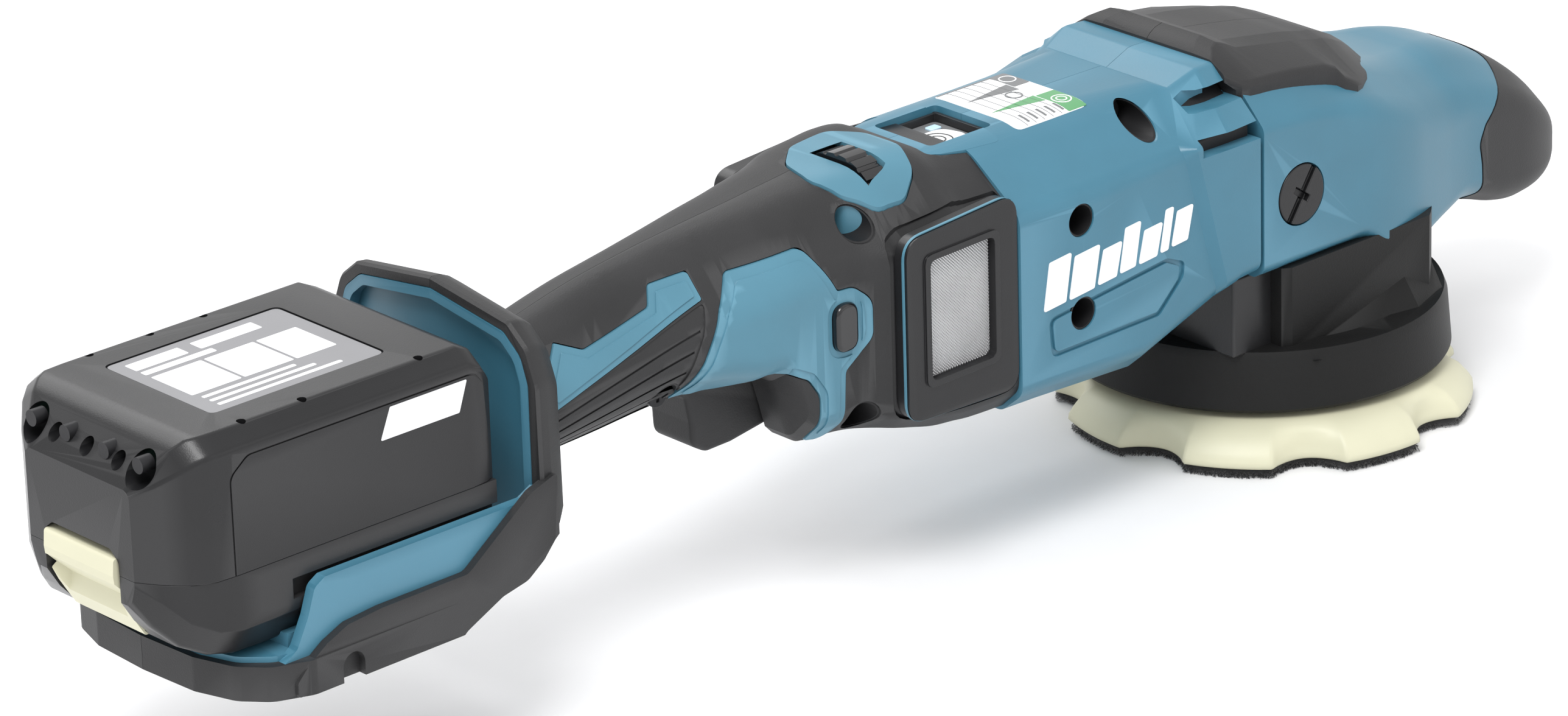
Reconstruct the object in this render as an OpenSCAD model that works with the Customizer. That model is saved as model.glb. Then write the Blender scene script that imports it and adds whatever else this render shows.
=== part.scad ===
// Cordless dual action polisher: a rear loop-free handle with a battery bay behind it, an in-line
// brushless motor, a bevel gear head, and a random-orbit backing pad under a round skirt.
// Millimetres. +X runs from the battery to the nose, +Z is up, the pad's hook face is at z = 0
// and the spindle axis stands on the origin.

/* [Pad] */
// Diameter of the backing pad
pad_d = 125; // [100:1:150]
// Radius of the orbit: the pad's axis stands this far from the spindle axis
orbit_r = 7.5; // [4:0.5:10.5]
// Direction of the pad's offset in the rest pose, degrees from +X
orbit_angle = 239; // [0:1:359]
// Number of scallops cut in the pad's rim
scallops = 8; // [4:1:12]
// Thickness of the hook layer
hook_t = 3; // [1:0.5:5]

/* [Head] */
// Height of the motor axis above the pad face
motor_z = 78; // [74:1:84]
// Outer radius of the skirt at its lower rim
skirt_r = 57; // [52:0.5:62]
// Height of the skirt's lower rim
skirt_z = 15.5; // [14:0.5:20]
// Teeth of the bevel pinion
pinion_teeth = 12; // [8:1:20]
// Teeth of the bevel gear
gear_teeth = 30; // [20:1:40]

/* [Body] */
// Half width of the motor housing
motor_w = 39.5; // [36:0.5:44]
// Half width of the rear handle
handle_w = 21; // [17:0.5:26]
// Wall thickness of the moulded shells
wall = 3; // [2:0.5:4]
// Thickness of the rubber overmould
skin = 2.5; // [1.5:0.5:4]

/* [Battery] */
// Length of the battery pack
pack_l = 106; // [90:1:120]
// Half width of the battery pack
pack_w = 37; // [32:0.5:40]
// Height of the battery's label face
pack_top = 119; // [100:1:125]

/* [Show] */
// Which node to draw

/* [Hidden] */
$fn = 64;
gap = 0.4;                       // clearance between parts that pass each other
run = 0.05;                      // radial running clearance of a shaft in its bearing
pad_x = orbit_r * cos(orbit_angle);
pad_y = orbit_r * sin(orbit_angle);
pack_x1 = -318;                  // front end of the battery pack
pack_x0 = pack_x1 - pack_l;      // rear end of the battery pack
deck_z = 81;                     // parting height of the battery's two case halves
tray_top = 75;                   // top of the battery bay's side strips
tray_x0 = -408;                  // rear end of the battery bay
floor_z = 60;                    // floor the battery slides on
foot_z = 46;                     // lowest face of the rubber bumper
bay_x = -312;                    // wall at the front of the battery bay
guard_x = -299;                  // front face of the guard flange
mid_x0 = -190;                   // rear end of the wide middle body
mid_x1 = -132;                   // joint between the middle body and the motor housing
head_x0 = -40;                   // rear face of the head cover
collar_x = -41.5;                // front face of the motor housing's collar
dial_c = [-166, -7, 104];        // centre of the speed dial
dial_r = 15;
lock_c = [-188.5, 83];           // x and z of the lock button
plug_c = [-25, 79];              // x and z of the side plugs
trig_c = [-231, 74.3];           // x and z of the trigger's pivot
trig_w = 8.5;                    // half width of the trigger
mesh_z = motor_z;                // height of the bevel gears' shared apex
tooth_m = 1.5;                   // module of the bevel teeth
pin_r = pinion_teeth * tooth_m / 2;
gear_r = gear_teeth * tooth_m / 2;
face_w = 7;                      // face width of the bevel teeth
bolt_hole = 6.5;                 // access hole for the pad bolt
far = 200;                       // longer than any part, for cutting

// ---------- shared shapes ----------

// Side-view outline [x, z] made into a slab that reaches w to both sides of the centre plane.
module slab(pts, w) translate([0, w, 0]) rotate([90, 0, 0]) linear_extrude(2 * w) polygon(pts);

// Side-view outline between two y values.
module plate(pts, y0, y1) translate([0, y1, 0]) rotate([90, 0, 0]) linear_extrude(y1 - y0) polygon(pts);

// Cross-section [y, z] swept along x.
module bar(pts, x0, x1) translate([x0, 0, 0]) rotate([90, 0, 90]) linear_extrude(x1 - x0) polygon(pts);

// Plan outline given for the +y side, mirrored, swept up z.
module plan(pts, z0, z1) translate([0, 0, z0]) linear_extrude(z1 - z0)
  polygon(concat(pts, [for (i = [len(pts) - 2 : -1 : 1]) [pts[i][0], -pts[i][1]]]));

// Cross-section with chamfered upper corners and small lower chamfers.
module tunnel(w, z0, z1, top_w, shoulder, x0, x1, low = 4)
  bar([[-w + low, z0], [w - low, z0], [w, z0 + low], [w, shoulder], [top_w, z1],
       [-top_w, z1], [-w, shoulder], [-w, z0 + low]], x0, x1);

module box3(lo, hi) translate(lo) cube(hi - lo);
module x_rod(c, r, x0, x1) translate([x0, c[0], c[1]]) rotate([0, 90, 0]) cylinder(r = r, h = x1 - x0);
module y_rod(c, r, y0, y1) translate([c[0], y0, c[1]]) rotate([-90, 0, 0]) cylinder(r = r, h = y1 - y0);
module z_rod(c, r, z0, z1) translate([c[0], c[1], z0]) cylinder(r = r, h = z1 - z0);
module left_half() intersection() { children(); box3([-500, 0, -60], [far, far, far]); }
module right_half() intersection() { children(); box3([-500, -far, -60], [far, 0, far]); }
module rounded_sq(a, b, r) {
  square([a - 2 * r, b], center = true);
  square([a, b - 2 * r], center = true);
  for (i = [-1, 1], j = [-1, 1]) translate([i * (a / 2 - r), j * (b / 2 - r)]) circle(r);
}

// ---------- outer forms of the body ----------

handle_top = [[-302, 96], [-285, 103], [-262, 108.5], [-235, 112], [-205, 114.5], [-180, 116.5]];
handle_low = [[-180, 66], [-205, 74], [-240, 69], [-285, 66], [-302, 64]];

// Rear handle with softened edges, inset by d on every side.
module handle_form(d = 0) intersection() {
  slab([for (p = handle_top) [p[0], p[1] - d], for (p = handle_low) [p[0], p[1] + d]], handle_w);
  union() {
    tunnel(handle_w - d, 60 + d, 117 - d, 9, 101 - d, -302, -215, 9);
    tunnel(28 - d, 60 + d, 118 - d, 12, 101 - d, -230, -180, 6);
  }
}

// Wider part of the handle that holds the switch.
module switch_form(d = 0) intersection() {
  slab([[-244, 72 + d], [-226, 82], [-216, 113 - d], [-180, 117 - d], [-176, 46 + d], [-202, 46 + d],
        [-206, 72 + d]], 28 - d);
  tunnel(28 - d, 40, 118 - d, 14, 100 - d, -250, -170, 6);
}

// Middle body between the handle and the motor housing.
module mid_form(d = 0) intersection() {
  slab([[mid_x0, 118 - d], [mid_x1, 119 - d], [mid_x1, 42 + d], [-160, 43 + d], [-176, 48 + d],
        [mid_x0, 49 + d]], 38 - d);
  tunnel(38 - d, 40, 119 - d, 22, 101 - d, mid_x0, mid_x1, 8);
  plan([[-195, 0], [-195, 28 - d], [-181, 29 - d], [-172, 36.5 - d], [-167, 38 - d], [-130, 38 - d], [-130, 0]],
       30, 130);
}

// Motor housing with the flared collar at its front.
module motor_form(d = 0) union() {
  intersection() {
    slab([[mid_x1, 119 - d], [-88, 119.5 - d], [-60, 119 - d], [collar_x, 118.5 - d], [collar_x, 56 + d],
          [-72, 46 + d], [-84, 40 + d], [mid_x1, 42 + d]], motor_w - d);
    tunnel(motor_w - d, 38, 124 - d, 26, 101 - d, mid_x1, collar_x, 7);
  }
  intersection() {
    slab([[-74, 112], [-62, 117 - d], [-53, 120.5 - d], [collar_x, 119.5 - d], [collar_x, 56 + d],
          [-58, 57 + d], [-68, 90]], 42.5 - d);
    tunnel(42.5 - d, 55, 121 - d, 25, 104 - d, -84, collar_x, 5);
  }
}

// Guard flange behind the battery, an upright plate with a low peak.
flange_pts = [[-44, 60], [-44, 112], [-38, 121], [-20, 124], [0, 125], [20, 124], [38, 121], [44, 112], [44, 60]];
module flange_form() bar(flange_pts, bay_x, guard_x + wall);

// Battery bay: floor, side strips and rails.
module bay_form() {
  box3([tray_x0, -40, foot_z + 6], [guard_x, 40, floor_z]);
  for (s = [-1, 1]) {
    translate([0, s * 41.5, 0]) box3([-392, -2.5, foot_z + 12], [guard_x, 2.5, tray_top]);
    translate([0, s * 37.25, 0]) box3([-388, -1.75, 70], [bay_x, 1.75, 73]);
  }
}

// Everything the two clamshell halves share before they are parted.
module housing_form() union() {
  housing_shell();
  y_rod(trig_c, 2 - run, -14, 14);
}
module housing_shell() difference() {
  union() {
    motor_form();
    mid_form(skin);
    switch_form(skin);
    handle_form(skin);
    flange_form();
    bay_form();
  }
  // motor cavity, closed at the back by the bearing wall
  x_rod([0, motor_z], 34, -116, -30);
  x_rod([0, motor_z], 8.1, -126, -110);
  // space for the electronics and the two air inlets
  intersection() {
    mid_form(skin + wall);
    box3([-186, -40, 40], [-136, 40, 130]);
  }
  for (s = [-1, 1]) translate([0, s * 35, 0]) box3([-170, -12, 56], [-136, 12, 103]);
  // handle and switch cavity
  intersection() {
    union() { handle_form(skin + wall); switch_form(skin + wall); }
    box3([-292, -40, 60], [-184, 40, 130]);
  }
  trigger_slot();
  y_rod(lock_c, 8.6, -40, 40);
  // slot of the dial and pocket of the mode panel
  translate(dial_c) rotate([0, 90, 0]) translate([0, 0, -6]) cylinder(r = dial_r + 1.5, h = 12);
  box3([-148.5, -19.5, 98], [-119.5, 15.5, 130]);
  // cable way through the guard wall
  box3([-320, -9, 50], [-290, 9, 58]);
  box3([-306, -9, 50], [-290, 9, 90]);
  // screw wells
  for (c = well_pts) union() {
    y_rod(c, 4.2, -60, seat(c));
    y_rod(c, 1.9, seat(c) - 1, seat(c) + 8);
  }
  // vents in the collar
  for (s = [-1, 1], z = [103, 114]) translate([-54, s * 40, z]) cube([20, 20, 5], center = true);
}
module trigger_slot() box3([-238, -trig_w - 1, 38], [-172, trig_w + 1, 82]);
well_pts = [[-104, 66], [-109, 94], [-76, 112], [-181.5, 110], [-182.4, 54.5], [-243, 75.5]];
function seat(c) = c[0] > mid_x1 ? (c[1] > 105 ? -27 : -33.5) : c[1] < 60 ? -17 : -12;  // y of the face a screw head bears on

module housing_left() color([0.0, 0.42, 0.52]) left_half() housing_form();
module housing_right() color([0.0, 0.42, 0.52]) right_half() housing_form();

// ---------- rubber and trim on the body ----------

module grip_form() difference() {
  union() {
    mid_form();
    switch_form();
    handle_form();
  }
  mid_form(skin);
  box3([mid_x1 - skin - 1, -45, 30], [mid_x1 + 1, 45, 130]);
  switch_form(skin);
  handle_form(skin);
  // openings that let the trigger, dial, mode panel, covers and screws through
  trigger_slot();
  box3([-305, -40, 40], [guard_x + wall, 40, 130]);
  translate([dial_c[0], -8, 117]) cube([30, 40, 60], center = true);
  box3([-150, -21, 98], [-118, 17, 130]);
  for (s = [-1, 1]) translate([0, s * 38, 0]) box3([-174.7, -12, 52], [-130, 12, 109]);
  for (c = well_pts) y_rod(c, 4.2, -60, -12);
  for (y = [-40, 25]) plate(panel_pts, y, y + 15);
  for (y = [-40, 15]) plate(inlay_pts, y, y + 25);
}
module grip_left() color([0.16, 0.16, 0.17]) left_half() grip_form();
module grip_right() color([0.16, 0.16, 0.17]) right_half() grip_form();

inlay_pts = [[-283, 86], [-281, 92], [-273, 99], [-268, 96], [-244, 101], [-242, 106], [-231, 106.5],
  [-231, 100.5]];
module inlay(s) intersection() {
  plate(inlay_pts, s > 0 ? 15 : -40, s > 0 ? 40 : -15);
  difference() { handle_form(-0.4); handle_form(skin); }
}
module inlay_left() color([0.05, 0.5, 0.6]) inlay(1);
module inlay_right() color([0.05, 0.5, 0.6]) inlay(-1);

panel_pts = [[-240, 72.6], [-233, 84], [-228, 96], [-224, 108], [-202, 110], [-193, 93], [-184, 93],
  [-179, 88], [-179, 78], [-184, 73], [-189, 70], [-190, 50], [-200, 48.5], [-197.5, 54.5], [-197, 64.6],
  [-203, 72], [-206, 73], [-219, 71.6], [-232, 70]];
module side_panel(s) difference() {
  plate(panel_pts, s > 0 ? 25.5 : -30, s > 0 ? 30 : -25.5);
  mid_form(skin);
  translate([lock_c[0], 0, lock_c[1]]) rotate([90, 0, 0]) translate([0, 0, -40])
    linear_extrude(80) rounded_sq(8.4 + gap, 14.4 + gap, 4.2);
}
module side_panel_left() color([0.0, 0.42, 0.52]) side_panel(1);
module side_panel_right() color([0.0, 0.42, 0.52]) side_panel(-1);

// Rubber bumper that runs round the guard flange and under the battery bay.
guard_pts = [[-48, 50], [-48, 113], [-40, 124], [-20, 128], [0, 129], [20, 128], [40, 124], [48, 113], [48, 50]];
module bay_bumper() color([0.13, 0.13, 0.14]) difference() {
  union() {
    bar(guard_pts, -308, guard_x + wall + 1);
    intersection() {
      box3([-414, -48, foot_z], [guard_x, 48, 63]);
      plan([[-420, 0], [-414, 26], [-408, 38], [-398, 46], [-390, 48], [-290, 48], [-290, 0]], foot_z, 64);
      slab([[-414, 56], [-414, foot_z + 6], [-406, foot_z], [-300, foot_z], [-292, 52], [-292, 64], [-392, 64]], 50);
    }
  }
  flange_form();
  bay_form();
  box3([tray_x0 - 1, -40, 57], [guard_x, 40, 70]);
  bar([for (p = flange_pts) [p[0] * 0.8, p[1] - 12]], -320, -280);
  box3([-306, -9, 50], [-280, 9, 90]);
  for (s = [-1, 1]) y_rod([-376, 51], 4, s > 0 ? 43 : -60, s > 0 ? 60 : -43);
}

module terminal_block() color([0.1, 0.1, 0.1]) union() {
  box3([-352, -15, floor_z], [bay_x, 15, floor_z + 2]);
  box3([-326, -15, floor_z + 2], [bay_x, 15, floor_z + 9]);
}
module terminal_blades() color([0.8, 0.65, 0.3])
  for (y = [-11, -3.5, 3.5, 11]) translate([0, y, 0]) box3([-346, -0.4, floor_z + 2], [-326, 0.4, floor_z + 8]);

module switch_unit() color([0.2, 0.2, 0.22]) union() {
  box3([-232, -9, 84], [-202, 9, 104]);
  box3([-214, -3, 82.3], [-208, 3, 84]);
}
module controller() color([0.1, 0.35, 0.2]) box3([-170, -16, 60], [-142, 16, 62]);
module heat_sink() color([0.7, 0.7, 0.72]) union() {
  box3([-170, -16, 62], [-142, 16, 65]);
  for (i = [0 : 5]) translate([-170 + i * 5.2, -16, 65]) cube([1.6, 32, 9]);
}

// Blue trim round the speed dial; it follows the body's chamfered shoulder.
module dial_bezel() color([0.05, 0.5, 0.6]) difference() {
  intersection() {
    difference() { mid_form(-0.6); mid_form(skin); }
    translate([dial_c[0], -8, 90]) linear_extrude(40) rounded_sq(29, 39, 12);
  }
  translate(dial_c) rotate([0, 90, 0]) translate([0, 0, -5]) cylinder(r = dial_r + 0.8, h = 10);
}
module dial_board() color([0.1, 0.35, 0.2]) difference() {
  box3([-176, -22, 90], [-174, 5, 106]);
  x_rod([dial_c[1], dial_c[2]], 2.6, -180, -170);
}

module mode_panel() color([0.07, 0.07, 0.08]) difference() {
  box3([-148.5, -19.5, 104], [-119.5, 15.5, 117.5]);
  box3([-147, -18, 112], [-121, 14, 130]);
  translate([-134, -8, 108]) linear_extrude(10) rounded_sq(16.8, 14.8, 4.4);
}
module mode_lamp() color([0.75, 0.9, 1.0]) box3([-130, 6, 112], [-126, 9, 112.6]);
module speed_chart() color([0.95, 0.95, 0.95]) slab([[-116, 119.4], [-89, 119.6], [-89, 120], [-116, 119.8]], 23.5);
module side_bands() color([0.93, 0.94, 0.95]) difference() {
  for (s = [-1, 1]) plate([[-112, 72], [-62, 72], [-58, 87], [-108, 87]], s * (motor_w + 0.3) - 0.25,
    s * (motor_w + 0.3) + 0.25);
  motor_form(-0.02);
}
module housing_screws() color([0.25, 0.25, 0.26])
  for (c = well_pts) union() {
    y_rod(c, 3.4, seat(c) - 3, seat(c));
    y_rod(c, 1.8, seat(c), seat(c) + 6.5);
  }

// ---------- motor ----------

module stator_core() color([0.45, 0.45, 0.47]) difference() {
  x_rod([0, motor_z], 27, -110, -70);
  x_rod([0, motor_z], 15, -112, -68);
  for (a = [0 : 60 : 300]) translate([0, 0, motor_z]) rotate([a + 30, 0, 0])
    box3([-112, -5, 16.5], [-68, 5, 22]);
}
module stator_coils() color([0.72, 0.4, 0.2])
  for (a = [0 : 60 : 300]) translate([0, 0, motor_z]) rotate([a, 0, 0]) union() {
    box3([-113.5, -6, 17], [-110, 6, 22]);
    box3([-70, -6, 17], [-66.5, 6, 22]);
  }
module bearing_x(x0, x1, r_in, r_out) difference() {
  x_rod([0, motor_z], r_out, x0, x1);
  x_rod([0, motor_z], r_in, x0 - 1, x1 + 1);
}
module motor_bearings() color([0.75, 0.75, 0.78]) union() {
  bearing_x(-126, -119, 4 + run, 8.1);
  bearing_x(-45, -38, 4 + run, 10);
}
module rotor_shaft() color([0.7, 0.7, 0.72]) x_rod([0, motor_z], 4, -125.5, -15.5);
module rotor_core() color([0.4, 0.4, 0.42]) difference() {
  x_rod([0, motor_z], 14, -110, -70);
  x_rod([0, motor_z], 4, -112, -68);
}
module fan() color([0.2, 0.2, 0.2]) difference() {
  union() {
    x_rod([0, motor_z], 30, -64, -62);
    x_rod([0, motor_z], 8, -64, -54);
    for (a = [0 : 30 : 330]) translate([0, 0, motor_z]) rotate([a, 0, 0]) box3([-62.5, -0.8, 7], [-55, 0.8, 29.5]);
  }
  x_rod([0, motor_z], 4, -66, -50);
}

// Bevel gear with its apex at the origin and its axis along +z: a plain root cone with one straight
// rib per tooth. The heel has radius r and stands h from the apex.
module bevel(teeth, r, h, back) {
  k = 1 - face_w / gear_r;                 // toe size as a share of the heel
  n = [h, -r] / norm([h, r]);              // unit normal of the pitch cone
  tip = 0.8 * n;
  root = -1.1 * n;
  rotate_extrude() polygon([[3, h * k], [r * k, h * k] + root, [r, h] + root, [r, h + back] + root,
    [3, h + back] + root]);
  for (i = [0 : teeth - 1]) rotate([0, 0, i * 360 / teeth]) rotate([90, 0, 0])
    translate([0, 0, -0.65]) linear_extrude(1.3)
      polygon([[r * k, h * k] + 1.3 * root, [r * k, h * k] + tip, [r, h] + tip, [r, h] + 1.3 * root]);
}
module bevel_pinion() color([0.6, 0.6, 0.62]) difference() {
  translate([0, 0, mesh_z]) rotate([0, -90, 0]) bevel(pinion_teeth, pin_r, gear_r, 1);
  x_rod([0, motor_z], 4, -40, -5);
}

// ---------- gear head ----------

module gear_housing() color([0.72, 0.73, 0.75]) difference() {
  union() {
    z_rod([0, 0], 36, 47, 88);
    translate([0, 0, 88]) cylinder(r1 = 36, r2 = 24, h = 12);
    x_rod([0, motor_z], 31, -46, -20);
    z_rod([0, 0], 13, 98, 104.8);
  }
  z_rod([0, 0], 31, 60, 86);
  translate([0, 0, 85.9]) cylinder(r1 = 31, r2 = 20, h = 10);
  gear_screw_holes();
  x_rod([0, motor_z], 27, -38, -20);
  x_rod([0, motor_z], 10, -50, -30);
  z_rod([0, 0], 10, 90, 104);
  z_rod([0, 0], 14, 40, 62);
  for (s = [-1, 1]) y_rod(plug_c, 7.2, s > 0 ? 24 : -60, s > 0 ? 60 : -24);
}
module gear_screws() color([0.35, 0.35, 0.36])
  for (a = [45 : 90 : 315]) rotate([0, 0, a]) translate([28.5, 0, 0]) union() {
    z_rod([0, 0], 3.2, 40, 43);
    z_rod([0, 0], 1.9, 43, 52);
  }
module gear_screw_holes() for (a = [45 : 90 : 315]) rotate([0, 0, a]) z_rod([28.5, 0], 1.95, 42, 53);
module bearing_z(z0, z1, r_in, r_out) difference() {
  z_rod([0, 0], r_out, z0, z1);
  z_rod([0, 0], r_in, z0 - 1, z1 + 1);
}
module spindle_bearings() color([0.75, 0.75, 0.78]) union() {
  bearing_z(96, 103, 5 + run, 10);
  bearing_z(48, 58, 6 + run, 14);
}
module spindle() color([0.65, 0.65, 0.68]) difference() {
  union() {
    z_rod([0, 0], 5, 90, 104);
    z_rod([0, 0], 6, 40, 92);
    z_rod([0, 0], 24, 21, 42);
  }
  z_rod([pad_x, pad_y], 13, 18, 38);
}
module bevel_gear() color([0.6, 0.6, 0.62]) difference() {
  translate([0, 0, mesh_z]) rotate([0, 180, 0]) rotate([0, 0, 180 / gear_teeth])
    bevel(gear_teeth, gear_r, pin_r, 4);
  z_rod([0, 0], 6, 40, 100);
}
module counterweight() color([0.5, 0.5, 0.52]) rotate([0, 0, orbit_angle + 180]) difference() {
  translate([0, 0, 24]) rotate_extrude(angle = 360) translate([24, 0]) square([20, 14]);
  translate([-60, -60, 20]) cube([60 + 8, 120, 30]);
}
module orbit_bearings() color([0.75, 0.75, 0.78]) translate([pad_x, pad_y, 0]) union() {
  bearing_z(22, 29, 6 + run, 13);
  bearing_z(30.5, 37.5, 6 + run, 13);
}

// ---------- pad ----------

module pad_stem() color([0.7, 0.7, 0.72]) translate([pad_x, pad_y, 0]) difference() {
  union() {
    z_rod([0, 0], 6, 16, 37);
    z_rod([0, 0], 17, 12, 19.5);
  }
  z_rod([0, 0], 3, 8, 30);
}
module backing_pad() color([0.9, 0.88, 0.74]) translate([pad_x, pad_y, 0]) difference() {
  rotate_extrude($fn = 96) polygon([[3, hook_t], [pad_d / 2 - 1, hook_t],
    [pad_d / 2 - 0.5, 5], [pad_d / 2 - 4, 10], [46, 14], [17.5, 14], [17.5, 12], [3, 12]]);
  for (i = [0 : scallops - 1]) rotate([0, 0, i * 360 / scallops + 12])
    z_rod([pad_d / 2 + 6.5, 0], 11, hook_t - 1, 20);
  z_rod([0, 0], bolt_hole, -1, 8);
}
module hook_layer() color([0.08, 0.08, 0.08]) translate([pad_x, pad_y, 0]) difference() {
  z_rod([0, 0], pad_d / 2, 0, hook_t);
  for (i = [0 : scallops - 1]) rotate([0, 0, i * 360 / scallops + 12])
    z_rod([pad_d / 2 + 6.5, 0], 10.5, -1, hook_t + 1);
  z_rod([0, 0], bolt_hole, -1, hook_t + 1);
}
module pad_bolt() color([0.4, 0.4, 0.42]) translate([pad_x, pad_y, 0]) difference() {
  union() {
    z_rod([0, 0], bolt_hole - 0.5, 3.5, 8);
    z_rod([0, 0], 3, 8, 29);
  }
  translate([0, 0, 2]) cylinder(r = 3, h = 4, $fn = 6);
}

// ---------- covers of the head ----------

head_top = [[head_x0, 118], [-20, 116.5], [0, 113], [20, 106.5], [36, 99], [59, 94], [84, 85], [100, 76], [112, 66], [119, 50]];
head_low = [[117, 38], [108, 32], [92, 33], [76, 39], [61, 47], [46, 49], [34, 46], [16, 48], [4, 57], [head_x0, 57]];
head_plan = [[head_x0, 0], [head_x0, 42.5], [14, 42.5], [36, 38], [60, 30], [86, 27], [106, 21], [116, 11],
  [119, 0]];
module head_form(d = 0) intersection() {
  slab([for (p = head_top) [p[0] - (p[0] > 60 ? d : 0), p[1] - d],
        for (p = head_low) [p[0] - (p[0] > 100 ? d : 0), p[1] + d]], 42.5 - d);
  plan([for (p = head_plan) [p[0] - (p[0] > 0 ? d * 0.8 : 0), max(0, p[1] - (p[1] > 0 ? d : 0))]], 10, 140);
  bar([[-42.5 + d, 20], [42.5 - d, 20], [42.5 - d, 100 - d], [30, 124 - d], [-30, 124 - d], [-42.5 + d, 100 - d]],
      head_x0, 120);
}
nose_cut = [[44, 140], [60, 93], [66, 88], [74, 86], [78, 80], [70, 70], [66, 62], [66, 52], [60, 44], [60, 0],
  [150, 0], [150, 140]];
module head_cover() color([0.0, 0.42, 0.52]) difference() {
  head_form();
  slab(nose_cut, 60);
  difference() {
    head_form(wall);
    box3([52, -60, 0], [150, 60, 150]);
  }
  box3([head_x0 - 1, -39.5, 50], [head_x0 + 8, 39.5, 104]);
  box3([head_x0 - 1, -31, 50], [head_x0 + 17, 31, 60.5]);
  z_rod([0, 0], 38, 40, 60);
  for (s = [-1, 1]) y_rod(plug_c, 10.3, s > 0 ? 24 : -60, s > 0 ? 60 : -24);
}
module nose_grip() color([0.16, 0.16, 0.17]) intersection() {
  head_form();
  slab(nose_cut, 60);
}
top_pts = [[-44.5, 118], [-41.5, 122.5], [-37, 123.6], [-30, 119.8], [-20, 118.6], [2, 114.5], [20, 108.2],
  [33, 101.5], [42, 95], [40, 91], [24, 96], [8, 103], [-14, 110], [head_x0, 112], [-43.5, 116]];
module top_grip() color([0.2, 0.2, 0.21]) difference() {
  intersection() {
    slab(top_pts, 40);
    plan([[-45, 0], [-45, 26], [-41, 36], [-30, 39], [6, 39], [30, 30], [44, 14], [44, 0]], 80, 140);
    bar([[-40, 80], [40, 80], [40, 109], [22, 124], [-22, 124], [-40, 109]], -70, 60);
  }
  head_form();
  motor_form();
}
module skirt() color([0.14, 0.14, 0.15]) difference() {
  union() {
    translate([0, 0, skirt_z]) cylinder(r1 = skirt_r, r2 = skirt_r - 3, h = 17.5);
    intersection() {
      z_rod([0, 0], 51, 32, 57);
      box3([-31, -42, 30], [60, 42, 60]);
    }
    z_rod([0, 0], 33, 32, 47);
  }
  translate([0, 0, skirt_z - 1]) cylinder(r1 = skirt_r - wall, r2 = skirt_r - wall - 3, h = 15.5);
  z_rod([0, 0], 46, 20, 43);
  z_rod([0, 0], 16, 40, 50);
  gear_screw_holes();
  z_rod([0, 0], 36.3, 47, 60);
  x_rod([0, motor_z], 31.5, -50, -15);
  head_form();
}

// Two slotted plugs that close the side handle's threaded bosses.
module plug_left() color([0.15, 0.15, 0.16]) plug(1);
module plug_right() color([0.15, 0.15, 0.16]) plug(-1);
module plug(s) difference() {
  union() {
    y_rod(plug_c, 9.8, s > 0 ? 38.5 : -42, s > 0 ? 42 : -38.5);
    y_rod(plug_c, 7, s > 0 ? 27 : -39, s > 0 ? 39 : -27);
  }
  translate([plug_c[0], s * 42, plug_c[1]]) rotate([0, 35, 0]) cube([2, 3, 24], center = true);
}

// ---------- moving controls ----------

module trigger() color([0.18, 0.18, 0.19]) difference() {
  slab([[-235, 77.5], [-235, 71], [-227, 69], [-226, 53], [-222, 50], [-212, 50], [-196, 52.5], [-189, 53.5],
    [-186, 50], [-184, 44], [-181, 41.5], [-178, 42], [-176, 46], [-177, 58], [-184, 68], [-196, 74],
    [-204, 76], [-206, 80], [-215, 80], [-218, 77.5]], trig_w);
  y_rod(trig_c, 2, -20, 20);
}
module lock_button() color([0.06, 0.06, 0.06]) translate([lock_c[0], 0, lock_c[1]]) rotate([90, 0, 0])
  translate([0, 0, 20]) linear_extrude(11.5) rounded_sq(8, 14, 3.9);
module speed_dial() color([0.1, 0.1, 0.1]) difference() {
  union() {
    x_rod([dial_c[1], dial_c[2]], dial_r, dial_c[0] - 4, dial_c[0] + 4);
    x_rod([dial_c[1], dial_c[2]], 2.5, dial_c[0] - 10, dial_c[0] - 4);
  }
  for (a = [0 : 15 : 345]) translate([dial_c[0], dial_c[1], dial_c[2]]) rotate([a, 0, 0])
    translate([0, 0, dial_r]) cube([9, 1, 1], center = true);
}
module mode_button() color([0.5, 0.5, 0.52]) translate([-134, -8, 109.5]) linear_extrude(3.5) rounded_sq(16, 14, 4);

// ---------- battery ----------

pack_plan = [[pack_x0, 0], [pack_x0, 21], [pack_x0 + 12, pack_w - 0.5], [pack_x0 + 18, pack_w],
  [pack_x1 - 5, pack_w], [pack_x1, pack_w - 4], [pack_x1, 0]];
module battery_upper() color([0.09, 0.09, 0.1]) difference() {
  intersection() {
    slab([[pack_x0, deck_z], [pack_x0, 106], [pack_x0 + 12, pack_top], [pack_x1 - 7, pack_top],
          [pack_x1, 112], [pack_x1, deck_z]], pack_w);
    plan(pack_plan, 60, 130);
    bar([[-pack_w, 60], [pack_w, 60], [pack_w, 113], [pack_w - 6, pack_top], [-pack_w + 6, pack_top],
         [-pack_w, 113]], pack_x0, pack_x1);
  }
  box3([pack_x0 + 12, -pack_w + 4, deck_z - 1], [pack_x1 - 3, pack_w - 4, pack_top - 3]);
  for (x = [pack_x0 + 29, pack_x1 - 20], s = [-1, 1]) z_rod([x, s * 31.6], 1.2, pack_top - 2, pack_top + 1);
  for (y = [-22, -8, 8, 22]) x_rod([y, 112], 2.2, pack_x0 - 1, pack_x0 + 7);
  // room for the release button's lip
  box3([pack_x0 - 1, -18, deck_z - 1], [pack_x0 + 3.4, 18, 88.5]);
}
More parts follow.
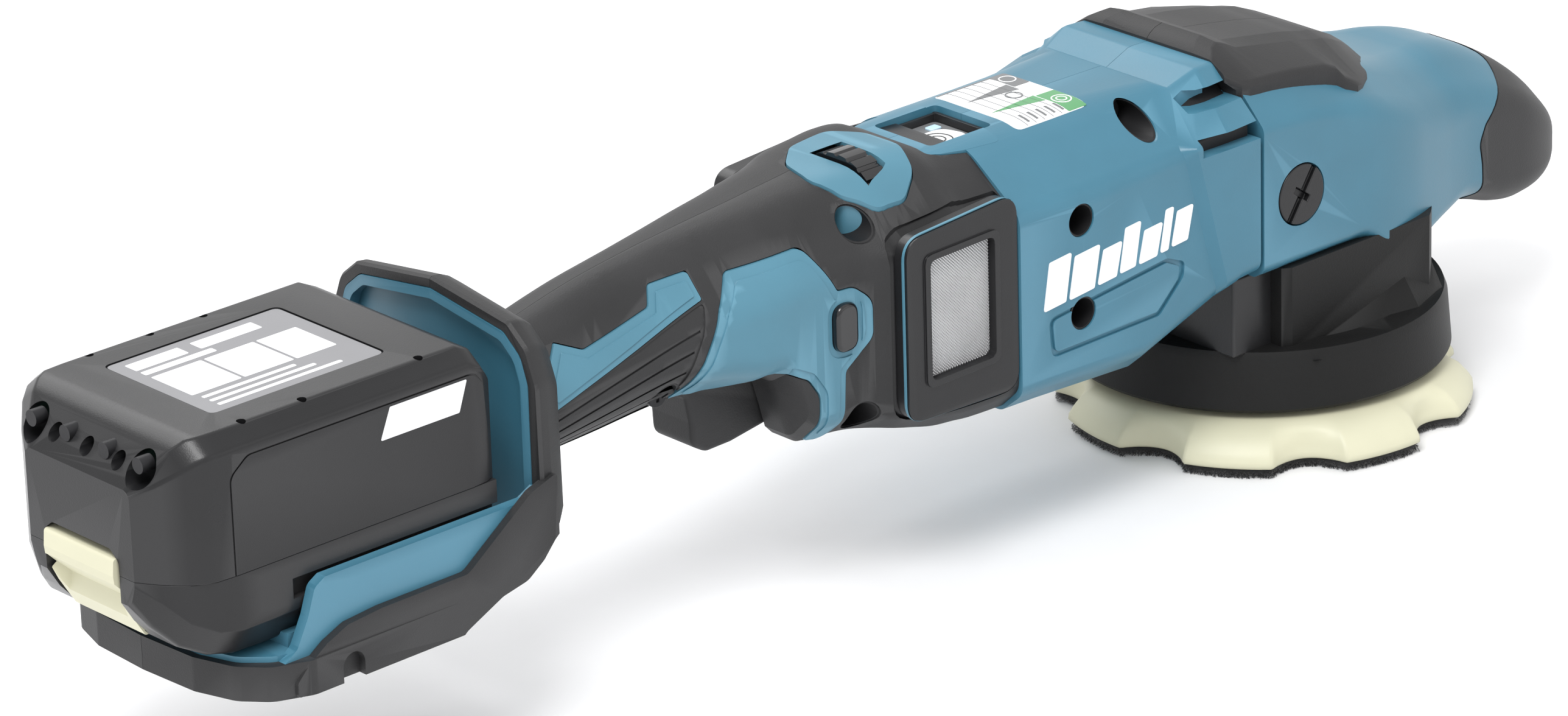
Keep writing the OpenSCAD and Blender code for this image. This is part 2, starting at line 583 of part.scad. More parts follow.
module battery_lower() color([0.09, 0.09, 0.1]) difference() {
  intersection() {
    slab([[pack_x0 + 3, 68], [pack_x0, 74], [pack_x0, deck_z], [pack_x1, deck_z], [pack_x1, floor_z + gap],
          [pack_x0 + 10, floor_z + gap]], pack_w);
    plan(pack_plan, 60, 130);
    bar([[-38, deck_z], [38, deck_z], [38, 74], [34.8, 73.8], [34.8, 69.2], [36.5, 69], [36.5, floor_z],
         [-36.5, floor_z], [-36.5, 69], [-34.8, 69.2], [-34.8, 73.8], [-38, 74]], pack_x0, pack_x1);
  }
  // channel that passes over the terminal block
  box3([-390, -15.8, floor_z - 1], [pack_x1 + 1, 15.8, floor_z + 10]);
  // seat of the release button
  box3([pack_x0 - 1, -18, floor_z - 1], [pack_x0 + 9, 18, deck_z + 1]);
  box3([pack_x0 + 14, -pack_w + 4, 73.5], [pack_x1 - 4, pack_w - 4, deck_z + 1]);
}
module battery_labels() color([0.9, 0.9, 0.9]) {
  box3([-397, -22, pack_top], [-341, 22, pack_top + 0.4]);
  for (s = [-1, 1]) translate([0, s * (pack_w + 0.2), 0])
    plate([[-355.5, 103], [-329.5, 103], [-327, 112], [-353, 112]], -0.2, 0.2);
}
module battery_cells() color([0.1, 0.5, 0.3])
  for (i = [0 : 4], z = [84, 102.5]) y_rod([pack_x0 + 21.3 + i * 18.15, z + 3.5], 9, -32.5, 32.5);
module battery_contacts() color([0.8, 0.65, 0.3])
  for (y = [-11, -3.5, 3.5, 11], s = [-1, 1]) translate([0, y + s * 1.2, 0])
    box3([-345, -0.3, floor_z + 3], [-338, 0.3, floor_z + 10]);
module battery_screws() color([0.3, 0.3, 0.31])
  for (y = [-22, -8, 8, 22]) x_rod([y, 112], 2.2, pack_x0 + 3, pack_x0 + 7);
module release_button() color([0.9, 0.87, 0.74]) union() {
  slab([[pack_x0 - 1.5, 84], [pack_x0 - 1.5, 74], [pack_x0 + 4, 62], [pack_x0 + 8, 62], [pack_x0 + 8, 77],
        [pack_x0 + 3, 77], [pack_x0 + 3, 84]], 17.5);
}

// ---------- air inlet covers ----------

frame_c = [-153.4, 80.5];        // x and z of the cover's centre
module cover_layer(s, y0, y1) translate([frame_c[0], s > 0 ? y1 : -y0, frame_c[1]]) rotate([90, 0, 0])
  linear_extrude(y1 - y0) children();
module dust_frame(s) union() {
  cover_layer(s, 37.8, 40) difference() {
    rounded_sq(41.6, 56, 6);
    rounded_sq(24, 35, 2.5);
  }
  cover_layer(s, 36.4, 37.8) difference() {
    rounded_sq(41.6, 56, 6);
    rounded_sq(30.4, 41.4, 2.5);
  }
}
module dust_mesh(s) cover_layer(s, 36.6, 37.8) difference() {
  rounded_sq(30, 41, 2);
  for (i = [-4 : 4], k = [-6 : 6]) translate([i * 2.6, k * 2.6]) square(1.7, center = true);
}
module dust_frame_left() color([0.18, 0.18, 0.19]) dust_frame(1);
module dust_mesh_left() color([0.75, 0.75, 0.76]) dust_mesh(1);
module dust_frame_right() color([0.18, 0.18, 0.19]) dust_frame(-1);
module dust_mesh_right() color([0.75, 0.75, 0.76]) dust_mesh(-1);

housing_left();
housing_right();
grip_left();
grip_right();
inlay_left();
inlay_right();
side_panel_left();
side_panel_right();
bay_bumper();
terminal_block();
terminal_blades();
switch_unit();
controller();
heat_sink();
dial_bezel();
dial_board();
mode_panel();
mode_lamp();
speed_chart();
side_bands();
housing_screws();
stator_core();
stator_coils();
motor_bearings();
gear_housing();
gear_screws();
spindle_bearings();
head_cover();
top_grip();
nose_grip();
skirt();
battery_upper();
battery_lower();
battery_labels();
battery_cells();
battery_contacts();
battery_screws();
release_button();
trigger();
lock_button();
speed_dial();
mode_button();
rotor_shaft();
rotor_core();
fan();
bevel_pinion();
spindle();
bevel_gear();
counterweight();
orbit_bearings();
pad_stem();
backing_pad();
hook_layer();
pad_bolt();
dust_frame_left();
dust_mesh_left();
dust_frame_right();
dust_mesh_right();
plug_left();
plug_right();
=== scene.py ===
import math
import random

import bmesh
import bpy
from mathutils import Matrix, Vector


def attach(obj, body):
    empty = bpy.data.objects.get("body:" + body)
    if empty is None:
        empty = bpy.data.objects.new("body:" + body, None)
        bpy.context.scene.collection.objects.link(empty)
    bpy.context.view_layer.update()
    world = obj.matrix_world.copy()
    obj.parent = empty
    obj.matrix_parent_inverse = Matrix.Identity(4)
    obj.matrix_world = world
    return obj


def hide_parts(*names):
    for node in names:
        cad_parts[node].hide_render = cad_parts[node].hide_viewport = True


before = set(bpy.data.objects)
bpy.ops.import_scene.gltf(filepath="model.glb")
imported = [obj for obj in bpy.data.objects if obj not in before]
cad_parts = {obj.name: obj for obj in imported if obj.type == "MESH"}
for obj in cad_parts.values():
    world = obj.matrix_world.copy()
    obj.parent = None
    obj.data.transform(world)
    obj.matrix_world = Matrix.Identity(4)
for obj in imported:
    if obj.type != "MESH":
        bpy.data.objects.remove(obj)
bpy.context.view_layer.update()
MM = 0.001  # everything below is written in millimetres and scaled once, when a mesh is made
# sign of y, side in the nodes' names, side in the photo
SIDES = ((-1, "right", "near"), (1, "left", "far"))


# ---------- materials ----------

def shader(name, base, rough, grain=1500.0, bump=0.12, mottle=0.06, metal=0.0, coat=0.0, sheen=0.0,
           edge_highlight=0.0, ior=1.46):
    """Moulded or cast finish: cloudy colour, fine grain in the surface and edges painted paler as a
    highlight.
    """
    mat = bpy.data.materials.new(name)
    mat.use_nodes = True
    tree = mat.node_tree
    nodes, links = tree.nodes, tree.links
    out = nodes["Principled BSDF"]
    out.inputs["Metallic"].default_value = metal
    out.inputs["IOR"].default_value = ior
    out.inputs["Coat Weight"].default_value = coat
    out.inputs["Coat Roughness"].default_value = 0.2
    out.inputs["Sheen Weight"].default_value = sheen
    coords = nodes.new("ShaderNodeTexCoord")
    cloud = nodes.new("ShaderNodeTexNoise")
    cloud.inputs["Scale"].default_value = 45.0
    cloud.inputs["Detail"].default_value = 4.0
    links.new(coords.outputs["Object"], cloud.inputs["Vector"])
    ramp = nodes.new("ShaderNodeValToRGB")
    dark = [c * (1 - mottle) for c in base]
    pale = [min(1.0, c * (1 + mottle)) for c in base]
    ramp.color_ramp.elements[0].position = 0.3
    ramp.color_ramp.elements[0].color = (*dark, 1)
    ramp.color_ramp.elements[1].position = 0.7
    ramp.color_ramp.elements[1].color = (*pale, 1)
    links.new(cloud.outputs["Fac"], ramp.inputs["Fac"])
    colour = ramp.outputs["Color"]
    # painted highlight: pointiness lightens the base colour along edges in place of glints
    if edge_highlight:
        geo = nodes.new("ShaderNodeNewGeometry")
        edge = nodes.new("ShaderNodeValToRGB")
        edge.color_ramp.elements[0].position = 0.52
        edge.color_ramp.elements[1].position = 0.6
        links.new(geo.outputs["Pointiness"], edge.inputs["Fac"])
        much = nodes.new("ShaderNodeMath")
        much.operation = "MULTIPLY"
        much.inputs[1].default_value = edge_highlight
        links.new(edge.outputs["Color"], much.inputs[0])
        mix = nodes.new("ShaderNodeMix")
        mix.data_type = "RGBA"
        links.new(much.outputs["Value"], mix.inputs["Factor"])
        links.new(colour, mix.inputs["A"])
        mix.inputs["B"].default_value = (*[min(1.0, c * 1.5 + 0.05) for c in base], 1)
        colour = mix.outputs["Result"]
    links.new(colour, out.inputs["Base Color"])
    grains = nodes.new("ShaderNodeTexNoise")
    grains.inputs["Scale"].default_value = grain
    grains.inputs["Detail"].default_value = 2.0
    links.new(coords.outputs["Object"], grains.inputs["Vector"])
    spread = nodes.new("ShaderNodeMapRange")
    spread.inputs["To Min"].default_value = max(0.02, rough - 0.06)
    spread.inputs["To Max"].default_value = min(1.0, rough + 0.06)
    links.new(cloud.outputs["Fac"], spread.inputs["Value"])
    links.new(spread.outputs["Result"], out.inputs["Roughness"])
    relief = nodes.new("ShaderNodeBump")
    relief.inputs["Strength"].default_value = bump
    relief.inputs["Distance"].default_value = 0.0002
    links.new(grains.outputs["Fac"], relief.inputs["Height"])
    links.new(relief.outputs["Normal"], out.inputs["Normal"])
    return mat


TEAL = shader("teal_plastic", (0.045, 0.160, 0.232), 0.36, bump=0.10, mottle=0.05, edge_highlight=0.35)
TRIM = shader("teal_trim", (0.066, 0.188, 0.258), 0.42, bump=0.10, mottle=0.05, edge_highlight=0.35)
RUBBER = shader("black_rubber", (0.022, 0.022, 0.023), 0.5, grain=2200, bump=0.35, mottle=0.14, edge_highlight=0.25,
                ior=1.38)
BLACK = shader("black_plastic", (0.011, 0.011, 0.012), 0.3, grain=2600, bump=0.14, mottle=0.1, edge_highlight=0.25,
               ior=1.4)
SKIRT = shader("skirt_rubber", (0.008, 0.008, 0.008), 0.5, grain=2200, bump=0.3, mottle=0.14, edge_highlight=0.2,
               ior=1.3)
GLOSS = shader("gloss_black", (0.007, 0.007, 0.008), 0.14, bump=0.02, mottle=0.1, coat=0.4)
# near-black for cutters, and the painted shade inside the wells and the collar's slots
DARK = shader("inner_painted_shade", (0.006, 0.006, 0.007), 0.6, mottle=0.2)
CREAM = shader("cream_plastic", (0.60, 0.585, 0.43), 0.45, grain=900, bump=0.08, mottle=0.03)
HOOK = shader("hook_fabric", (0.012, 0.012, 0.013), 0.85, grain=3000, bump=0.8, mottle=0.4, sheen=0.3)
STEEL = shader("steel", (0.50, 0.50, 0.52), 0.32, metal=1.0, mottle=0.08, bump=0.08)
ALUMINIUM = shader("aluminium", (0.62, 0.63, 0.65), 0.42, metal=1.0, mottle=0.06, bump=0.25)
COPPER = shader("copper", (0.65, 0.30, 0.13), 0.35, metal=1.0)
BRASS = shader("brass", (0.72, 0.55, 0.22), 0.3, metal=1.0)
BOARD = shader("board", (0.03, 0.16, 0.07), 0.45)
WRAP = shader("cell_wrap", (0.05, 0.3, 0.2), 0.3)
WHITE = shader("white_label", (0.80, 0.81, 0.82), 0.35, mottle=0.02, bump=0.02)
GREYL = shader("grey_label", (0.20, 0.20, 0.21), 0.4, mottle=0.04, bump=0.04)
LENS = shader("lamp_lens", (0.55, 0.75, 0.9), 0.15, coat=0.5)
GREEN = shader("chart_green", (0.10, 0.30, 0.13), 0.4, mottle=0.03)
# painted shade: screw steel darkened so the screws read black down in their wells
SCREW_SHADE_STEEL = shader("screw_steel_painted_shade", (0.02, 0.02, 0.022), 0.45, metal=0.5, mottle=0.1)
GREYM = shader("grey_plastic", (0.16, 0.165, 0.17), 0.4)

RECORD_LOOKS = {
    "teal_plastic": TEAL, "teal_trim": TRIM, "black_rubber": RUBBER, "black_plastic": BLACK,
    "gloss_black": GLOSS, "cream_plastic": CREAM, "hook_fabric": HOOK, "steel": STEEL,
    "aluminium": ALUMINIUM, "copper": COPPER, "brass": BRASS, "board": BOARD, "cell_wrap": WRAP,
    "white_label": WHITE, "lamp_lens": LENS, "grey_plastic": GREYM,
}


# ---------- mesh tools ----------

def new_piece(name, bm, mat):
    mesh = bpy.data.meshes.new(name)
    bm.to_mesh(mesh)
    bm.free()
    obj = bpy.data.objects.new(name, mesh)
    bpy.context.collection.objects.link(obj)
    mesh.materials.append(mat)
    return obj


def rounded(pts, radii, steps=5):
    """Closed outline with each corner turned into an arc; every corner gets the same point count."""
    out = []
    n = len(pts)
    if isinstance(radii, (int, float)):
        radii = [radii] * n
    for i in range(n):
        before, here, after = (Vector(pts[j % n]) for j in (i - 1, i, i + 1))
        a, b = before - here, after - here
        angle = a.angle(b) if a.length > 1e-6 and b.length > 1e-6 else math.pi
        reach = radii[i] / math.tan(angle / 2) if 1e-3 < angle < math.pi - 1e-3 else 0.0
        reach = min(reach, 0.48 * a.length, 0.48 * b.length)
        start, stop = here + a.normalized() * reach, here + b.normalized() * reach
        for j in range(steps + 1):
            t = j / steps
            out.append(start * (1 - t) ** 2 + here * 2 * t * (1 - t) + stop * t * t)
    return out


def tidy(bm):
    bmesh.ops.remove_doubles(bm, verts=bm.verts, dist=2e-6)
    bmesh.ops.dissolve_degenerate(bm, edges=bm.edges, dist=1e-6)
    bmesh.ops.recalc_face_normals(bm, faces=bm.faces)


def loft(name, rings, mat):
    """Skin over a row of closed rings of 3-D points, capped at both ends."""
    bm = bmesh.new()
    rows = [[bm.verts.new(Vector(p) * MM) for p in ring] for ring in rings]
    n = len(rows[0])
    for a, b in zip(rows, rows[1:]):
        for i in range(n):
            bm.faces.new((a[i], a[(i + 1) % n], b[(i + 1) % n], b[i]))
    bm.faces.new(rows[0][::-1])
    bm.faces.new(rows[-1])
    tidy(bm)
    return new_piece(name, bm, mat)


PLACE = {
    "x": lambda a, b, t: (t, a, b),
    "y": lambda a, b, t: (a, t, b),
    "z": lambda a, b, t: (a, b, t),
}


def prism(name, pts, lo, hi, axis, mat, radii=0.0, steps=5):
    """Flat outline pushed from lo to hi along an axis."""
    if radii:
        pts = rounded(pts, radii, steps)
    put = PLACE[axis]
    return loft(name, [[put(p[0], p[1], t) for p in pts] for t in (lo, hi)], mat)


def rect(a0, b0, a1, b1):
    return [(a0, b0), (a1, b0), (a1, b1), (a0, b1)]


def circle(c, r, n=48):
    return [(c[0] + r * math.cos(2 * math.pi * i / n),
             c[1] + r * math.sin(2 * math.pi * i / n)) for i in range(n)]


def rod(name, c, r, lo, hi, axis, mat, n=48):
    return prism(name, circle(c, r, n), lo, hi, axis, mat)


def block(name, lo, hi, mat):
    return prism(name, rect(*lo[:2], *hi[:2]), lo[2], hi[2], "z", mat)


def lathe(name, profile, centre, mat, n=128):
    """Profile of [radius, z] turned about a vertical axis."""
    bm = bmesh.new()
    rows = []
    for i in range(n):
        a = 2 * math.pi * i / n
        rows.append([bm.verts.new(Vector((centre[0] + r * math.cos(a), centre[1] + r * math.sin(a),
                                          z)) * MM) for r, z in profile])
    m = len(profile)
    for i in range(n):
        a, b = rows[i], rows[(i + 1) % n]
        for j in range(m):
            bm.faces.new((a[j], b[j], b[(j + 1) % m], a[(j + 1) % m]))
    tidy(bm)
    return new_piece(name, bm, mat)


def applied(obj):
    """Bakes an object's modifiers into its mesh."""
    deps = bpy.context.evaluated_depsgraph_get()
    mesh = bpy.data.meshes.new_from_object(obj.evaluated_get(deps))
    old = obj.data
    obj.modifiers.clear()
    obj.data = mesh
    bpy.data.meshes.remove(old)
    return obj


def combine(obj, others, how="DIFFERENCE"):
    """Exact boolean with each of the others, which are used up."""
    for other in others if isinstance(others, (list, tuple)) else [others]:
        mod = obj.modifiers.new("cut", "BOOLEAN")
        mod.operation = how
        mod.solver = "EXACT"
        mod.object = other
        applied(obj)
        bpy.data.objects.remove(other, do_unlink=True)
    return obj


def carve(obj, pts, lo, hi, axis, radii=0.0, steps=5, how="DIFFERENCE"):
    return combine(obj, prism("c", pts, lo, hi, axis, DARK, radii, steps), how)


def bore(obj, c, r, lo, hi, axis, n=48):
    return combine(obj, rod("c", c, r, lo, hi, axis, DARK, n))


def mill(obj, lo, hi, how="DIFFERENCE"):
    return combine(obj, block("c", lo, hi, DARK), how)


def twin(obj, name):
    copy = bpy.data.objects.new(name, obj.data.copy())
    bpy.context.collection.objects.link(copy)
    return copy


def mirrored(obj, name):
    copy = twin(obj, name)
    copy.data.transform(Matrix.Diagonal((1, -1, 1, 1)))
    copy.data.flip_normals()
    return copy


def soften(obj, width=0.6, steps=3, angle=28):
    """Small radius on every crisp edge, then even shading of the flats between."""
    bm = bmesh.new()
    bm.from_mesh(obj.data)
    tidy(bm)
    bmesh.ops.dissolve_limit(bm, angle_limit=math.radians(0.4), verts=bm.verts, edges=bm.edges)
    bm.to_mesh(obj.data)
    bm.free()
    if width:
        mod = obj.modifiers.new("edge", "BEVEL")
        mod.width = width * MM
        mod.segments = steps
        mod.limit_method = "ANGLE"
        mod.angle_limit = math.radians(angle)
        mod.use_clamp_overlap = True
        mod.harden_normals = False
        applied(obj)
    obj.data.shade_smooth()
    obj.data.set_sharp_from_angle(angle=math.radians(38))
    weigh = obj.modifiers.new("flats", "WEIGHTED_NORMAL")
    weigh.keep_sharp = True
    weigh.weight = 80
    return obj


def place(obj, body, *nodes, slot=None):
    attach(obj, body)
    if nodes:
        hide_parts(*nodes)
    return obj


def between(a, b, t):
    return [p + (q - p) * t for p, q in zip(a, b)]


def eased(keys, step):
    """Rows between given rows, along a smooth curve through them (Catmull-Rom)."""
    rows = []
    for i in range(len(keys) - 1):
        p0, p1, p2, p3 = (keys[max(0, min(len(keys) - 1, j))] for j in (i - 1, i, i + 1, i + 2))
        count = max(1, round((p2[0] - p1[0]) / step))
        for j in range(count):
            t = j / count
            h = (2 * t**3 - 3 * t**2 + 1, t**3 - 2 * t**2 + t, -2 * t**3 + 3 * t**2, t**3 - t**2)
            span = p2[0] - p1[0]
            row = []
            for a, b, c, d in zip(p0, p1, p2, p3):
                m1 = (c - a) / (p2[0] - p0[0]) * span if p2[0] != p0[0] else 0
                m2 = (d - b) / (p3[0] - p1[0]) * span if p3[0] != p1[0] else 0
                row.append(h[0] * b + h[1] * m1 + h[2] * c + h[3] * m2)
            row[0] = p1[0] + span * t
            rows.append(row)
    rows.append(list(keys[-1]))
    return rows


# A body section is one row: x, bottom z, bottom half width, low z, half width, shoulder z,
# top half width, top z, then the radii of those four corners and the lean of the section.
def section(row, grow=0.0, steps=6):
    x, zb, wb, zl, w, zs, wt, zt, rb, rl, rs, rt, lean = row
    zb, zt, w, wb, wt = zb - grow, zt + grow, w + grow, wb + grow * 0.6, wt + grow * 0.6
    half = [(wb, zb), (w, zl), (w, zs), (wt, zt)]
    outline = half + [(-y, z) for y, z in half[::-1]]
    radii = [rb, rl, rs, rt, rt, rs, rl, rb]
    back = lambda z: lean * (min(z, 103.3) - 90) - 1.85 * lean * max(0.0, z - 103.3)
    return [(x + back(p.y), p.x, p.y) for p in rounded(outline, radii, steps)]


def hull(name, rows, mat, grow=0.0):
    return loft(name, [section(r, grow) for r in rows], mat)


def half(obj, name, side):
    """The part of obj on one side of the centre plane, a hair short of it, for a moulded seam."""
    keep = twin(obj, name)
    a, b = (0.06, 400) if side > 0 else (-400, -0.06)
    return combine(keep, block("keep", (-600, a, -100), (300, b, 300), DARK), "INTERSECT")


# ---------- handle and middle body ----------

grip_keys = [
    # x, zb, wb, zl, w, zs, wt, zt, rb, rl, rs, rt, lean
    (-300, 64.5, 8, 74, 20, 84, 7, 98, 10, 14, 14, 14, 0),
    (-285, 66, 8, 76, 20.5, 87, 7, 103, 10, 14, 15, 14, 0),
    (-262, 68, 9, 78, 21, 91, 7.5, 108.6, 10, 14, 16, 14, 0),
    (-240, 70, 10, 80, 21.8, 94, 8, 112, 10, 12, 16, 14, 0),
    (-226, 70.5, 12, 79, 24, 96, 9, 113.6, 9, 10, 16, 15, 0),
    (-214, 70, 16, 77, 26.8, 98, 10, 114.8, 8, 9, 15, 16, 0),
    (-206, 69, 18, 75, 27.8, 99, 11, 115.5, 7, 8, 14, 17, 0),
    (-201, 52, 20, 60, 28, 99, 12, 116, 6, 8, 14, 18, 0),
    (-196, 49, 20, 57, 28.2, 99, 13, 116.6, 6, 8, 13, 18, 0),
    (-188, 48.5, 20, 56, 28.8, 99, 15, 117.4, 6, 8, 12, 19, 0),
    (-181, 48, 21, 55, 29.8, 99, 17, 118.2, 6, 8, 12, 20, 0),
    (-175, 47.5, 24, 54, 33.5, 99.5, 18, 119, 6, 7, 10, 20, 0),
    (-169, 46.5, 27, 53, 37, 100, 18, 119.4, 6, 6, 8, 20, 0),
    (-164, 45.5, 28, 52, 37.9, 100.5, 17, 120.2, 6, 6, 7, 20, 0),
    (-157, 44, 29, 51, 38, 101, 17, 120.9, 6, 6, 7, 20, 0),
    (-150, 43.5, 29.5, 50, 38, 101, 17, 120.4, 6, 6, 7, 20, 0),
    (-145, 43, 30, 50, 38, 101, 17, 118, 6, 6, 7, 20, 0),
    (-131.5, 42.5, 30, 50, 38, 101, 17, 116.8, 6, 6, 7, 20, 0),
]
grip_rows = eased(grip_keys, 2.0)

panel_pts = [(-240, 72.2), (-233, 84), (-227, 97), (-221, 105), (-197.5, 106.5), (-190.5, 93.6),
             (-185, 93.4), (-179.6, 89), (-179.6, 77.5), (-184, 73.4), (-188.4, 70), (-189.4, 50.6),
             (-192, 48.8), (-198, 50.2), (-197.2, 56), (-197, 65), (-201, 70.8), (-206, 73.4), (-219, 71.4),
             (-232, 70)]
panel_r = [2, 8, 8, 3, 3.5, 1.5, 5, 6, 6, 2, 2.5, 2.5, 2, 2, 3, 6, 5, 3, 6, 2]
inlay_pts = [(-285.5, 84), (-283.5, 91.5), (-276.4, 99.3), (-269.3, 96.3), (-246, 101.4), (-243.2, 106.2),
             (-231, 107), (-230.6, 100.4)]
inlay_r = [0.8, 3, 0.8, 2, 2, 2, 0.8, 0.8]
groove_pts = [(-285.5, 83.4), (-230.4, 99.6), (-233, 91.5), (-238.4, 79.8), (-243, 71), (-287, 66)]
frame_pts = [(-174.2, 52.6), (-132.9, 51.4), (-132.9, 108.4), (-174.2, 105.6)]
WELL_R = 4.8
MIDDLE_X = -130  # the wells behind this sit in the grip, the others in the motor housing
wells = [(-108.6, 66.4), (-109, 94), (-75.6, 111), (-179.5, 108.6), (-182.4, 54.5), (-243, 75)]
tongue_pts = [(-144.5, -15.4), (-144.5, 14), (-139, 15.6), (-120, 17.4), (-120, -19.6), (-133, -18.4),
              (-140.4, -17)]
bezel_pts = [(-182.5, -10), (-179.5, 3), (-171, 10.5), (-159, 9), (-152.4, 0), (-152, -13), (-155.4, -22),
             (-163, -26.6), (-172, -25.8), (-179, -19)]


def spread(pts, by):
    """Outline pushed outwards by a distance."""
    n = len(pts)
    area = sum(pts[i][0] * pts[(i + 1) % n][1] - pts[(i + 1) % n][0] * pts[i][1] for i in range(n))
    sign = 1 if area > 0 else -1
    out = []
    for i in range(n):
        a, b, c = Vector(pts[i - 1]), Vector(pts[i]), Vector(pts[(i + 1) % n])
        e1, e2 = (b - a).normalized(), (c - b).normalized()
        n1, n2 = Vector((e1.y, -e1.x)) * sign, Vector((e2.y, -e2.x)) * sign
        m = n1 + n2
        out.append(tuple(b + m * (by / max(0.35, m.dot(n1)))))
    return out


def flank(side, a, b):
    """The span from depth a to depth b on one side of the tool, low end first."""
    return sorted((side * a, side * b))


def side_prism(name, pts, r, lo, hi, mat):
    """Side-view outline as a solid between two depths on the -y side."""
    return prism(name, pts, -hi, -lo, "y", mat, r)


def well_depths(c):
    """How far in, as y on the near side, a well's floor and its screw's seat lie."""
    if c[0] > MIDDLE_X:
        return (-24, -25) if c[1] < 105 else (-14, -15)
    if c[0] < -200:
        return -16, -12
    return (-16.8, -17) if c[1] < 60 else (-11, -12)


core = hull("grip_core", grip_rows, BLACK, -1.1)

grip = hull("grip", grip_rows, RUBBER)


def skin_cuts():
    """Openings in the near side's rubber for the side panel, the inlay and the inlet's frame."""
    return [
        side_prism("c", spread(panel_pts, 0.35), panel_r, 12, 60, DARK),
        side_prism("c", spread(inlay_pts, 0.3), inlay_r, 8, 60, DARK),
        side_prism("c", spread(frame_pts, 1.0), 7, 30, 60, DARK),
    ]


combine(grip, skin_cuts())
carve(grip, spread(bezel_pts, 0.3), 95, 140, "z", 7)
carve(grip, spread(tongue_pts, 0.35), 106, 140, "z", 2.2)
# the grooved field low on the handle: shallow and flat, with four thin grooves
field = hull("field_skin", grip_rows, DARK, 3)
combine(field, hull("inside", grip_rows, DARK, -0.45))
combine(field, side_prism("c", groove_pts, [0.8, 0.8, 3, 3, 2, 2], 6, 60, DARK), "INTERSECT")
combine(grip, field)
for k in range(4):
    t0, t1 = 0.16 + k * 0.2, 0.18 + k * 0.205
    a = between((-287, 83), (-287, 66), t0)
    b = between((-231.5, 97.5), (-243, 71.5), t1)
    line = hull("line_skin", grip_rows, DARK, 3)
    combine(line, hull("inside", grip_rows, DARK, -0.95))
    combine(line, side_prism("c", [(a[0], a[1] - 0.35), (b[0], b[1] - 0.35), (b[0], b[1] + 0.35),
                                   (a[0], a[1] + 0.35)], 0, 6, 60, DARK), "INTERSECT")
    combine(grip, line)
for c in wells:
    if c[0] < MIDDLE_X:
        bore(grip, c, WELL_R, -60, well_depths(c)[0], "y")
# slot of the trigger, and the same cuts for the far side
mill(grip, (-238, -9.6, 30), (-172, 9.6, 77))
for cutter in skin_cuts():
    combine(grip, mirrored(cutter, "far"))
    bpy.data.objects.remove(cutter, do_unlink=True)
for c in wells:
    if c[0] < MIDDLE_X:
        bore(core, c, WELL_R - 0.05, -60, well_depths(c)[0], "y")
mill(core, (-238, -9.4, 30), (-172, 9.4, 77))
combine(core, side_prism("c", frame_pts, 6, 33.5, 60, DARK))
combine(core, mirrored(side_prism("gone", frame_pts, 6, 33.5, 60, DARK), "far"))
bpy.data.objects.remove(bpy.data.objects["gone"], do_unlink=True)
for name, side, node in (("grip_near", -1, "grip_right"), ("grip_far", 1, "grip_left")):
    place(soften(half(grip, name, side), 0.45), "tool", node, slot="black_rubber")
bpy.data.objects.remove(grip, do_unlink=True)

# side panel, inlay: skins that stand a little proud of the grip
panel = hull("panel", grip_rows, TRIM, 0.35)
combine(panel, side_prism("c", panel_pts, panel_r, 14, 60, DARK), "INTERSECT")
carve(panel, rect(-192.7, 76, -184.3, 90), -60, -10, "y", 4.1, 8)
bore(panel, (-188.5, 83), 2.0, -60, -10, "y")
inlay = hull("inlay", grip_rows, TRIM, 0.3)
combine(inlay, side_prism("c", inlay_pts, inlay_r, 10, 60, DARK), "INTERSECT")
ridge = hull("ridge", grip_rows, TRIM, 0.75)
combine(ridge, side_prism("c", spread(inlay_pts, -1.7), 0.6, 10, 60, DARK), "INTERSECT")
combine(inlay, ridge, "UNION")
rim = hull("rim", grip_rows, TRIM, 0.75)
combine(rim, side_prism("c", spread(panel_pts, -2.2), panel_r, 14, 60, DARK), "INTERSECT")
carve(rim, rect(-194.4, 74.2, -182.6, 91.8), -60, -10, "y", 5.8, 8)
combine(panel, rim, "UNION")
for obj, name, node in ((panel, "side_panel", "side_panel"), (inlay, "inlay_strip", "inlay")):
    far = mirrored(obj, name + "_far")
    obj.name = name + "_near"
    place(soften(obj, 0.35), "tool", node + "_right", slot="teal_trim")
    place(soften(far, 0.35), "tool", node + "_left", slot="teal_trim")

# ---------- motor housing with its collar ----------

motor_rows = [
    # x, zb, wb, zl, w, zs, wt, zt, rb, rl, rs, rt, lean
    (-132.3, 42, 31, 49, 39.5, 101.5, 17.5, 117.2, 5, 6, 8, 22, 0),
    (-120, 41.7, 31, 49, 39.5, 101.5, 17.5, 117.2, 5, 6, 8, 22, 0),
    (-100, 41, 31, 48, 39.5, 101.5, 17.5, 117.2, 5, 6, 8, 22, 0),
    (-87, 40.3, 31, 47.5, 39.5, 102, 18, 117, 5, 6, 8, 20, -0.06),
    (-65.6, 51, 31, 57, 39.7, 102.6, 20, 116.8, 5, 6, 6, 10, -0.286),
    (-62.6, 52.8, 31.5, 59, 42.2, 103.4, 24.6, 115.8, 4, 5, 2, 3, -0.27),
    (-53, 54.4, 32, 60, 42.5, 104.4, 26, 119.3, 4, 5, 2, 2.5, -0.1),
    (-51, 55, 32, 60.5, 42.5, 104.4, 26, 119.5, 4, 5, 2, 2.5, -0.08),
    (-41.5, 56, 32, 61, 42.5, 103.6, 25.4, 119.3, 4, 5, 2, 2.5, 0),
]
motor = hull("motor", motor_rows, TEAL)
crown_rows = [(x, 60, 20, 62, 39, 101, 17.5, 117.3, 2, 2, 8, 22, 0) for x in (-150, -120)]
tongue = hull("tongue", crown_rows, TEAL, 0.1)
carve(tongue, tongue_pts, 90, 140, "z", 2.0, how="INTERSECT")
